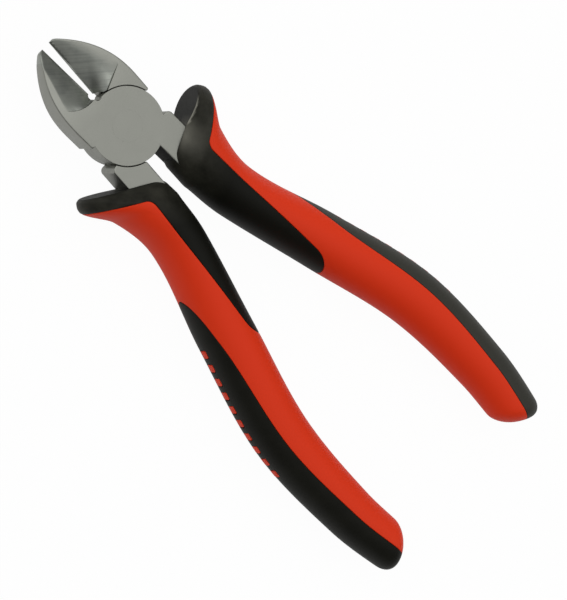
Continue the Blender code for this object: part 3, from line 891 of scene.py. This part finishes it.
def jaw_curve(head):
    """The jaw's outer side, from its straight flank round to the blunt tip."""
    reach_share = (1 - head.tip_width / head.half_width) ** (1 / head.jaw_curve_power)
    share = np.linspace(0, 1, JAW_POINTS)
    y = head.jaw_curve_start + (head.jaw_reach - head.jaw_curve_start) * share
    return np.stack((-head.half_width * (1 - (share * reach_share) ** head.jaw_curve_power), y), 1)


def cap_height(head, y):
    """Half thickness of the forging before the bevels are ground."""
    past = np.clip((y - head.nose_start) / head.nose_blend, -1, None)
    ramp = np.where(past < 1, (past + 1) ** 2 / 4, past) * head.nose_blend
    return head.half_thickness - math.tan(head.nose_angle) * ramp


def bevel_curve(head, grind):
    """The bevel's slope at the cutting edge, and how it eases towards the outer side."""
    steep, mean = math.tan(grind.edge), math.tan(grind.mean)
    return steep, (steep - mean) * mean / ((head.thickness - head.edge_land) / 2)


def crease_line(grind, across):
    """Y of the bevel's joint end at distances from the middle line."""
    centimetre = 0.01
    return grind.crease + math.tan(grind.slant) * across + grind.bend * (across / centimetre) ** 3


def ground_height(head, grind, plan):
    """Half thickness that the grinding leaves: a bevel that hollows up to its crease."""
    across, y = np.abs(plan[:, 0]), plan[:, 1]
    steep, ease = bevel_curve(head, grind)
    floor = head.edge_land / 2 + steep * across - ease * across**2
    crease = crease_line(grind, across)
    cove = grind.cove + grind.cove_growth * across
    rise = np.maximum(cap_height(head, crease) - floor, TINY)
    deep = rise - np.minimum(grind.step, rise / 2)
    radius = (cove**2 + deep**2) / (2 * deep)
    back = np.clip(crease + cove - y, 0, cove)
    ground = floor + radius - np.sqrt(radius**2 - back**2)
    clear = np.hypot(*plan.T) > head.pocket_radius
    return np.where((y > crease + TINY) & (plan[:, 0] < 0) & clear, ground, head.thickness)


def front_height(head, grind, plan):
    """Half thickness of the lever over points of its plan."""
    cap, ground = cap_height(head, plan[:, 1]), ground_height(head, grind, plan)
    ahead = (plan[:, 1] - crease_line(grind, np.abs(plan[:, 0]))) / grind.cove
    least = 0.01
    blend = grind.blend * np.clip(ahead, least, 1)
    return np.minimum(cap, ground) - np.maximum(blend - np.abs(cap - ground), 0) ** 2 / (4 * blend)


def bevel_line(head, grind):
    """Plan curve where the bevel meets the forged face: along its crease, then along the jaw."""
    steep, ease = bevel_curve(head, grind)

    def reach(y):
        depth = cap_height(head, y) - head.edge_land / 2
        return (steep - np.sqrt(np.maximum(steep**2 - 4 * ease * depth, 0))) / (2 * ease)

    corner = head.joint_radius
    for _ in range(CORNER_PASSES):
        corner = reach(crease_line(grind, corner))
    across = np.linspace(0, corner, CREASE_POINTS)
    y = np.linspace(crease_line(grind, corner), head.jaw_reach, FLANK_POINTS)
    crease = np.stack((-across, crease_line(grind, across)), 1)
    flank = np.stack((-reach(y), y), 1)
    return resample(np.concatenate((crease, flank[1:])), BEVEL_STEP)


def sink_height(head, reach):
    """Height of the countersink for the rivet's head."""
    share = (head.rivet_head + head.rivet_gap - reach) / (head.rivet_head - head.rivet_radius)
    return head.half_thickness - head.rivet_sink * np.clip(share, 0, 1)


def make_lever(head, grind, side):
    """One forged half: jaw, half-thick joint disc and tang."""
    outline, rounds = lever_outline(head, grind, side)
    closed = np.append(outline, outline[:1], axis=0)
    curves = [closed]
    for share in ROUND_ROWS[1:]:
        row = offset(outline, -share * rounds, closed=True)
        curves.append(np.append(row, row[:1], axis=0))
    pocket = head.pocket_radius
    bore, sink = head.rivet_radius + head.rivet_gap, head.rivet_head + head.rivet_gap
    for radius in (pocket - LEVER_WALL / 2, pocket + LEVER_WALL / 2, bore, sink):
        curves.append(arc((0, 0), radius, 0, math.tau))
    bevel = bevel_line(head, grind)
    curves += [bevel] + [offset(bevel, distance) for distance in BEVEL_ROWS]
    fill = lattice(outline.min(axis=0), outline.max(axis=0), head.spacing)
    plan, faces = triangulate(
        curves, fill, head.spacing * LEVER_CLEAR,
        lambda middle: within(middle, outline) & (np.hypot(*middle.T) > bore),
    )
    reach = np.hypot(*plan.T)
    drop = np.zeros(len(plan))
    for size in np.unique(rounds):
        own = rounds == size
        away = distance_to(plan, closed[:-1][own], closed[1:][own])
        drop = np.maximum(drop, rounding(away, size))
    height = front_height(head, grind, plan)
    height = height - np.minimum(drop, DEEPEST_ROUND * height)
    front = np.minimum(height, sink_height(head, reach))
    rear = np.where(reach < pocket, head.lap_gap / 2, -height)
    top, bottom = np.column_stack((plan, front)), np.column_stack((plan, rear))
    lever = mesh_object("drawn_lever", *closed_sheet(top, bottom, faces, rim(faces)))
    bar = tang_bar(head)
    fit_to_tang(bar.data, side)
    combine(lever, bar, "UNION")
    mark(lever.data, "ground", lambda points: on_bevel(head, grind, points[:, :2]))
    # Painted shade on the tang's inner side, which lies in shade
    mark(lever.data, "scale", lambda points: on_inner_side(head, points))
    return lever


def on_bevel(head, grind, plan):
    """How far points of the plan are ground, from 0 on the forged face to 1 on the bevels."""
    depth = cap_height(head, plan[:, 1]) - ground_height(head, grind, plan)
    return np.clip(depth / grind.blend, 0, 1)


def on_inner_side(head, points):
    """Which points are on the tang's inner side, which is left as forged."""
    on_side = np.abs(points[:, 0] - head.tang_inner) < SIDE_TOLERANCE
    return on_side & (points[:, 1] < -PAINTED_SHADE_START * head.joint_radius)


def tang_bar(head, grow=0):
    """The narrow tang inside the grip: a tapered bar with chamfered corners."""
    root = (head.tang_inner + head.half_width) / 2
    start = face_line(root, 0)
    along = np.linspace(start, BAR_END - grow, BAR_RINGS)
    across, _, _, slant = section_at(along)
    centre = root + (across - root) * eased((along - start) / (BAR_SETTLED - start))
    half_width = np.linspace(*BAR_WIDTHS, BAR_RINGS) / 2 + grow
    half_height = np.linspace(*BAR_HEIGHTS, BAR_RINGS) / 2 + grow
    corners = []
    for u_sign, z_sign in ((1, 1), (-1, 1), (-1, -1), (1, -1)):
        cuts = (0, BAR_CHAMFER), (BAR_CHAMFER, 0)
        for u_cut, z_cut in cuts if u_sign == z_sign else cuts[::-1]:
            u = u_sign * (half_width - u_cut)
            z = z_sign * (half_height - z_cut)
            corners.append((centre + np.cos(slant) * u, along + np.sin(slant) * u, z))
    return lofted("drawn_tang", np.transpose(corners, (2, 0, 1)))


def tang_room(head, grow):
    """The space that a tang takes in its grip."""
    room = tang_bar(head, grow)
    height = head.half_thickness + grow
    root = [[(x, y, z) for x, y in tang_root(head, grow)] for z in (-height, height)]
    combine(room, lofted("drawn_root", root), "UNION")
    return room


def make_rivet(head):
    """The flush rivet: a turned shank with two countersunk heads."""
    top, edge = head.half_thickness, 0.00001
    half = [
        (head.rivet_radius, top - head.rivet_sink),
        (head.rivet_head, top - edge),
        (head.rivet_head - edge, top),
    ]
    turns = np.linspace(0, math.tau, RIVET_SIDES, endpoint=False)
    profile = [(r, -z) for r, z in half[::-1]] + half
    rings = [[(r * math.cos(turn), r * math.sin(turn), z) for turn in turns] for r, z in profile]
    return lofted("drawn_rivet", rings)


# Finishes

def add(tree, kind, inputs=(), **settings):
    """Add a node with its settings; an input is a value, a socket, or a node for its first output."""
    made = tree.nodes.new(kind)
    for field, value in settings.items():
        setattr(made, field, value)
    for name, value in dict(inputs).items():
        if isinstance(value, bpy.types.Node):
            value = value.outputs[0]
        if isinstance(value, bpy.types.NodeSocket):
            tree.links.new(value, made.inputs[name])
        else:
            made.inputs[name].default_value = value
    return made


def shared(make):
    """The material that a function describes and gives its name to, made once."""
    material = bpy.data.materials.get(make.__name__)
    if not material:
        material = bpy.data.materials.new(make.__name__)
        material.use_nodes = True
        tree = material.node_tree
        tree.nodes.clear()
        shader = make(tree, bpy.context.scene.cutter_finish)
        add(tree, "ShaderNodeOutputMaterial", {"Surface": shader})
    return material


def satin_ground_steel(tree, finish):
    """Tool steel: grey satin flats, bevels with finer grinding lines, dark scale inside the tangs."""
    place = add(tree, "ShaderNodeTexCoord").outputs["Object"]
    ground = add(tree, "ShaderNodeAttribute", attribute_name="ground").outputs["Fac"]
    # The scale mark here carries the painted shade on the tangs' inner sides: dark, matt and not metal
    scale = add(tree, "ShaderNodeAttribute", attribute_name="scale").outputs["Fac"]
    grit = add(tree, "ShaderNodeTexNoise", {"Vector": place, "Scale": 1 / 0.00035, "Detail": 3})
    cloud = add(tree, "ShaderNodeTexNoise", {"Vector": place, "Scale": 1 / 0.005, "Detail": 3})
    # Real grinding lines are finer than a pixel, so these are drawn coarser
    along = add(tree, "ShaderNodeMapping", {
        "Vector": place, "Rotation": (0, 0, math.radians(-42)), "Scale": (0.0160, 0.00045, 0.0160),
    }, vector_type="TEXTURE")
    lines = add(tree, "ShaderNodeTexNoise", {"Vector": along, "Scale": 1.0, "Detail": 2})
    relief = add(tree, "ShaderNodeMix", {0: ground, 2: grit, 3: lines})
    bump = add(tree, "ShaderNodeBump", {"Height": relief, "Strength": 0.7, "Distance": 0.00003})
    satin = add(tree, "ShaderNodeMapRange", {"Value": cloud, "To Min": 0.34, "To Max": 0.44})
    fine = add(tree, "ShaderNodeMapRange", {"Value": lines, "To Min": 0.24, "To Max": 0.36})
    rough = add(tree, "ShaderNodeMix", {0: ground, 2: satin, 3: fine})
    # The painted shade makes the tangs' inner sides matt and not metal
    rough = add(tree, "ShaderNodeMix", {0: scale, 2: rough, 3: 0.8})
    unshaded_metal = add(tree, "ShaderNodeMath", {0: 1.0, 1: scale}, operation="SUBTRACT")
    smear = add(tree, "ShaderNodeMix", {0: 0.35, 2: cloud, 3: lines})
    oil = add(tree, "ShaderNodeMapRange", {"Value": smear, "From Min": 0.44, "From Max": 0.7})
    bevel = add(tree, "ShaderNodeMix", {
        0: oil, 6: (*finish.bevel, 1), 7: (*finish.smudge, 1),
    }, data_type="RGBA")
    tint = add(tree, "ShaderNodeMix", {
        0: ground, 6: (*finish.steel, 1), 7: bevel.outputs[2],
    }, data_type="RGBA")
    # Painted shade: the tangs' inner sides are tinted dark
    tint = add(tree, "ShaderNodeMix", {
        0: scale, 6: tint.outputs[2], 7: (*finish.scale, 1),
    }, data_type="RGBA")
    return add(tree, "ShaderNodeBsdfPrincipled", {
        "Base Color": tint.outputs[2], "Metallic": unshaded_metal, "Roughness": rough, "Normal": bump,
    })


def moulded_plastic(tree, tint, strength, roughness, ior):
    """A plastic's surface with the fine even grain of its mould."""
    place = add(tree, "ShaderNodeTexCoord").outputs["Object"]
    grain = add(tree, "ShaderNodeTexNoise", {"Vector": place, "Scale": 1 / 0.0005, "Detail": 2})
    bump = add(tree, "ShaderNodeBump", {"Height": grain, "Strength": strength, "Distance": 0.00004})
    return add(tree, "ShaderNodeBsdfPrincipled", {
        "Base Color": tint, "Roughness": roughness, "IOR": ior, "Specular IOR Level": 0.12,
        "Normal": bump,
    })


def hard_red_polypropylene(tree, finish):
    """Injection-moulded polypropylene from a spark-eroded mould: satin, with a fine even grain."""
    return moulded_plastic(tree, (*finish.red, 1), strength=0.15, roughness=0.48, ior=1.49)


def soft_black_elastomer(tree, finish):
    """Over-moulded thermoplastic elastomer: dull black, scuffed paler in patches by the mouth."""
    place = add(tree, "ShaderNodeTexCoord").outputs["Object"]
    worn = add(tree, "ShaderNodeAttribute", attribute_name="worn").outputs["Fac"]
    # Painted highlight and sheen, as a share at each point
    rubbed = add(tree, "ShaderNodeAttribute", attribute_name="rubbed").outputs["Fac"]
    patch = add(tree, "ShaderNodeTexNoise", {
        "Vector": place, "Scale": 1 / 0.006, "Detail": 4, "Roughness": 0.6,
    })
    patch = add(tree, "ShaderNodeMapRange", {"Value": patch, "From Min": 0.2, "From Max": 0.9})
    scuff = add(tree, "ShaderNodeMath", {0: worn, 1: patch}, operation="MULTIPLY")
    tint = add(tree, "ShaderNodeMix", {
        0: scuff, 6: (*finish.black, 1), 7: (*finish.worn, 1),
    }, data_type="RGBA")
    # Painted highlight and sheen: a pale tint mixed in over the black
    tint = add(tree, "ShaderNodeMix", {
        0: rubbed, 6: tint.outputs[2], 7: (*finish.rubbed, 1),
    }, data_type="RGBA")
    return moulded_plastic(tree, tint.outputs[2], strength=0.2, roughness=0.5, ior=1.48)


def pale_floor_paint(tree, finish):
    """Matt studio floor that reads as white to the camera and still takes a soft shadow."""
    to_camera, to_gloss = 0.97, 0.4  # shares of white
    rays = add(tree, "ShaderNodeLightPath").outputs
    seen = add(tree, "ShaderNodeMath", {
        0: rays["Is Camera Ray"], 1: rays["Is Transmission Ray"],
    }, operation="MAXIMUM")
    seen = add(tree, "ShaderNodeMath", {0: seen, 1: to_camera}, operation="MULTIPLY")
    gloss = add(tree, "ShaderNodeMath", {0: rays["Is Glossy Ray"], 1: to_gloss}, operation="MULTIPLY")
    share = add(tree, "ShaderNodeMath", {0: seen, 1: gloss}, operation="MAXIMUM")
    matt = add(tree, "ShaderNodeBsdfDiffuse", {"Color": (*finish.floor, 1)})
    white = add(tree, "ShaderNodeEmission", {"Color": WHITE, "Strength": 1.0})
    return add(tree, "ShaderNodeMixShader", {0: share, 1: matt, 2: white})


# Rungs, by Geometry Nodes

def rung_tree(material):
    """A node tree that sets rounded rungs along a rail and bends them to the strip."""
    tree = bpy.data.node_groups.new("rungs_along_rail", "GeometryNodeTree")
    sockets = {}
    tree.interface.new_socket("Rail", in_out="INPUT", socket_type="NodeSocketGeometry")
    for name in ("Count", "Length", "Height", "Corner", "Depth", "Bend radius"):
        kind = "NodeSocketInt" if name == "Count" else "NodeSocketFloat"
        sockets[name] = tree.interface.new_socket(name, in_out="INPUT", socket_type=kind).identifier
    tree.interface.new_socket("Rungs", in_out="OUTPUT", socket_type="NodeSocketGeometry")
    given = add(tree, "NodeGroupInput").outputs

    # The rung: a rounded plate in the YZ plane, pushed along X through the soft layer
    plate = add(tree, "GeometryNodeCurvePrimitiveQuadrilateral", {
        "Width": given["Length"], "Height": given["Height"],
    })
    corner = {"Curve": plate, "Radius": given["Corner"], "Count": 5}
    plate = add(tree, "GeometryNodeFilletCurve", corner, mode="POLY")
    plate = add(tree, "GeometryNodeFillCurve", {"Curve": plate}, mode="TRIANGLES")
    plate = add(tree, "GeometryNodeSubdivideMesh", {"Mesh": plate, "Level": 2})
    quarter = math.pi / 2
    upright = add(tree, "GeometryNodeTransform", {"Geometry": plate, "Rotation": (quarter, 0, quarter)})
    push = add(tree, "ShaderNodeCombineXYZ", {"X": given["Depth"]})
    body = add(tree, "GeometryNodeExtrudeMesh", {
        "Mesh": upright, "Offset": push, "Offset Scale": 1.0, "Individual": False,
    })
    base = add(tree, "GeometryNodeFlipFaces", {"Mesh": upright})
    whole = add(tree, "GeometryNodeJoinGeometry")
    tree.links.new(body.outputs["Mesh"], whole.inputs[0])
    tree.links.new(base.outputs[0], whole.inputs[0])
    whole = add(tree, "GeometryNodeMergeByDistance", {"Geometry": whole, "Distance": TINY})

    # The bend: each point drops by the strip's roundness at its height
    place = add(tree, "GeometryNodeInputPosition")
    height = add(tree, "ShaderNodeSeparateXYZ", {"Vector": place}).outputs["Z"]
    square = add(tree, "ShaderNodeMath", {0: height, 1: height}, operation="MULTIPLY")
    drop = add(tree, "ShaderNodeMath", {0: square, 1: given["Bend radius"]}, operation="DIVIDE")
    drop = add(tree, "ShaderNodeMath", {0: drop, 1: -0.5}, operation="MULTIPLY")
    shift = add(tree, "ShaderNodeCombineXYZ", {"X": drop})
    bent = add(tree, "GeometryNodeSetPosition", {"Geometry": whole, "Offset": shift})

    # The row: even places along the rail, turned with it
    rail = add(tree, "GeometryNodeMeshToCurve", {"Mesh": given["Rail"]})
    rail = add(tree, "GeometryNodeResampleCurve", {"Curve": rail, "Count": given["Count"]})
    heading = add(tree, "GeometryNodeInputTangent")
    turn = add(tree, "FunctionNodeAlignRotationToVector", {"Vector": heading}, axis="Y", pivot_axis="Z")
    row = add(tree, "GeometryNodeInstanceOnPoints", {
        "Points": rail, "Instance": bent, "Rotation": turn,
    })
    row = add(tree, "GeometryNodeRealizeInstances", {"Geometry": row})
    row = add(tree, "GeometryNodeSetMaterial", {"Geometry": row, "Material": material})
    add(tree, "NodeGroupOutput", {"Rungs": row})
    return tree, sockets


def make_rungs(surface, material):
    """The red rungs of one palm strip, which stand just proud of it."""
    grip = surface.grip
    proud = 0.00005
    along = np.linspace(grip.rung_end, grip.rung_start, RAIL_POINTS)
    rail = surface.points(surface.chart_of_palm(along), grip.soft_layer)
    mesh = bpy.data.meshes.new("drawn_rail")
    mesh.from_pydata(rail, [(i, i + 1) for i in range(len(rail) - 1)], [])
    rungs = linked("drawn_rungs", mesh)
    row = rungs.modifiers.new("Rungs", "NODES")
    row.node_group, sockets = rung_tree(material)
    _, half_width, half_height, _ = section_at(along)
    values = {
        "Count": grip.rung_count, "Length": grip.rung_length, "Height": grip.rung_height,
        "Corner": grip.rung_corner, "Depth": grip.soft_layer + proud,
        "Bend radius": float(np.mean(half_height**2 / half_width)),
    }
    for name, value in values.items():
        row[sockets[name]] = value
    settle(rungs)
    return rungs


# Stage

def make_floor(material):
    """A floor under the collars and the handles, which the tool lies on as on a table."""
    place, _, _, thickness, _ = SPINE[1:].T
    low = MID_HEIGHT - thickness[0] / 2 - FLOOR_GAP
    slope = np.max((thickness[1:] - thickness[0]) / 2 / (place[0] - place[1:]))
    corners = FLOOR_HALF_SIZE * np.array(((-1, -1), (1, -1), (1, 1), (-1, 1)))
    mesh = bpy.data.meshes.new("studio_floor")
    mesh.from_pydata([(x, y, low + slope * (y - place[0])) for x, y in corners], [], [(0, 1, 2, 3)])
    mesh.materials.append(material)
    linked("studio_floor", mesh)


def make_world(scene):
    """White to the camera, and for the light a grey surround with bright parts above and ahead."""
    world = bpy.data.worlds.new("studio_surround")
    world.use_nodes = True
    tree = world.node_tree
    tree.nodes.clear()
    seen = add(tree, "ShaderNodeLightPath").outputs["Is Camera Ray"]
    white = add(tree, "ShaderNodeBackground", {"Color": WHITE, "Strength": 1.0})
    heading = add(tree, "ShaderNodeTexCoord").outputs["Generated"]
    levels = {}
    for i, (way, cosines, ends) in enumerate(SURROUND):
        facing = add(tree, "ShaderNodeVectorMath", {
            0: heading, 1: Vector(way).normalized(),
        }, operation="DOT_PRODUCT")
        levels[i] = add(tree, "ShaderNodeMapRange", {
            "Value": facing.outputs["Value"], "From Min": cosines[0], "From Max": cosines[1],
            "To Min": ends[0], "To Max": ends[1],
        }).outputs["Result"]
    level = add(tree, "ShaderNodeMath", levels, operation="MAXIMUM")
    surround = add(tree, "ShaderNodeBackground", {"Color": WHITE, "Strength": level})
    mixed = add(tree, "ShaderNodeMixShader", {0: seen, 1: surround, 2: white})
    add(tree, "ShaderNodeOutputWorld", {"Surface": mixed})
    scene.world = world


def soft_box(name, place, size, power):
    """A square area light aimed at the middle of the tool."""
    light = bpy.data.lights.new(name, "AREA")
    light.energy = power
    light.size = size
    lamp = linked(name, light)
    lamp.location = place
    lamp.rotation_mode = "QUATERNION"
    lamp.rotation_quaternion = (LAMP_AIM - Vector(place)).to_track_quat("-Z", "Y")


def make_camera(scene):
    """The photograph's view: from above, leaning over the left jaw."""
    camera = linked("camera", bpy.data.cameras.new("camera"))
    camera.data.lens = CAMERA_LENS
    camera.data.clip_start = CAMERA_CLIP
    turn = (CAMERA_AIM - CAMERA_PLACE).to_track_quat("-Z", "Y").to_matrix().to_4x4()
    roll = Matrix.Rotation(CAMERA_ROLL, 4, "Z")
    camera.matrix_world = Matrix.Translation(CAMERA_PLACE) @ turn @ roll
    scene.camera = camera


# Operators

class CUTTER_OT_levers(bpy.types.Operator):
    """Build both forged levers"""

    bl_idname = "cutter.levers"
    bl_label = "Levers"

    def execute(self, context):
        scene, steel = context.scene, shared(satin_ground_steel)
        grinds = scene.cutter_front_grind, scene.cutter_rear_grind
        for side, grind, node in zip(SIDES, grinds, ("front_lever", "rear_lever")):
            drawn = make_lever(scene.cutter_head, grind, side)
            install(drawn, "forged_" + node, side, steel, node)
            bpy.data.objects.remove(drawn)
        return {"FINISHED"}


class CUTTER_OT_rivet(bpy.types.Operator):
    """Build the flush rivet"""

    bl_idname = "cutter.rivet"
    bl_label = "Rivet"

    def execute(self, context):
        steel = shared(satin_ground_steel)
        drawn = make_rivet(context.scene.cutter_head)
        install(drawn, "flush_rivet", "right", steel, "pivot_rivet")
        bpy.data.objects.remove(drawn)
        return {"FINISHED"}


class CUTTER_OT_grips(bpy.types.Operator):
    """Build the red cores and the black collars and palm strips"""

    bl_idname = "cutter.grips"
    bl_label = "Grips"

    def execute(self, context):
        head, grip = context.scene.cutter_head, context.scene.cutter_grip
        red, black = shared(hard_red_polypropylene), shared(soft_black_elastomer)
        surface = GripSurface(grip)
        collar, strip = collar_edge(surface), strip_edge(surface)
        drawn = {
            "grip_core": red_core("drawn_core", surface, collar, strip),
            "grip_collar": island("drawn_collar", surface, collar_region(surface, collar), collar),
            "palm_strip": island(
                "drawn_strip", surface, strip_region(strip), strip, window_edges(surface)
            ),
        }
        for piece in ("grip_core", "grip_collar"):
            combine(drawn[piece], tang_room(head, grip.tang_fit), "DIFFERENCE")
        collar_mesh, strip_mesh = drawn["grip_collar"].data, drawn["palm_strip"].data
        mark(collar_mesh, "worn", worn_share)
        mark(strip_mesh, "worn", lambda points: np.full(len(points), STRIP_SCUFFED))
        # Painted light on the collar: a painted highlight along the horn's ridge and painted sheen
        # behind the tang
        mark(collar_mesh, "rubbed", lambda points: painted_sheen_share(head, points))
        # Painted sheen on the palm strip: paler with height above the mid-plane
        mark(strip_mesh, "rubbed", lambda points: np.interp(points[:, 2], *STRIP_PAINTED_SHEEN))
        for piece, body in drawn.items():
            material, slot = (red, "red_plastic") if piece == "grip_core" else (black, "black_soft")
            for side in SIDES:
                node = f"{side}_{piece}"
                install(body, "moulded_" + node, side, material, node, on_tang=True)
            bpy.data.objects.remove(body)
        return {"FINISHED"}


class CUTTER_OT_rungs(bpy.types.Operator):
    """Build the red rungs that show through the palm strips"""

    bl_idname = "cutter.rungs"
    bl_label = "Rungs"

    def execute(self, context):
        red = shared(hard_red_polypropylene)
        drawn = make_rungs(GripSurface(context.scene.cutter_grip), red)
        for side in SIDES:
            install(drawn, f"{side}_palm_rungs", side, red, on_tang=True)
        bpy.data.objects.remove(drawn)
        return {"FINISHED"}


class CUTTER_OT_stage(bpy.types.Operator):
    """Build the floor, the studio light and the camera"""

    bl_idname = "cutter.stage"
    bl_label = "Stage"

    def execute(self, context):
        scene = context.scene
        make_floor(shared(pale_floor_paint))
        make_world(scene)
        for name, settings in SOFT_BOXES.items():
            soft_box(name, *settings)
        make_camera(scene)
        scene.view_settings.view_transform = "Standard"
        return {"FINISHED"}


class CUTTER_PT_panel(bpy.types.Panel):
    """Lists the cutter's pieces and sizes"""

    bl_idname = "CUTTER_PT_panel"
    bl_label = "Diagonal Cutter"
    bl_space_type = "VIEW_3D"
    bl_region_type = "UI"
    bl_category = "Cutter"

    def draw(self, context):
        for operator in BUILD_ORDER:
            self.layout.operator(operator.bl_idname)
        for group in SETTINGS:
            settings = getattr(context.scene, group)
            box = self.layout.box()
            for name in settings.__annotations__:
                box.prop(settings, name)


BUILD_ORDER = (CUTTER_OT_levers, CUTTER_OT_rivet, CUTTER_OT_grips, CUTTER_OT_rungs, CUTTER_OT_stage)
SETTINGS = {
    "cutter_head": CutterHead,
    "cutter_front_grind": FrontGrind,
    "cutter_rear_grind": RearGrind,
    "cutter_grip": CutterGrip,
    "cutter_finish": CutterFinish,
}


CLASSES = (*SETTINGS.values(), *BUILD_ORDER, CUTTER_PT_panel)


def register():
    for made in CLASSES:
        bpy.utils.register_class(made)
    for name, group in SETTINGS.items():
        setattr(bpy.types.Scene, name, PointerProperty(type=group))


def unregister():
    for name in SETTINGS:
        delattr(bpy.types.Scene, name)
    for made in reversed(CLASSES):
        bpy.utils.unregister_class(made)


def main():
    register()
    for operator in BUILD_ORDER:
        group, name = operator.bl_idname.split(".")
        getattr(getattr(bpy.ops, group), name)()


if __name__ == "__main__":
    main()
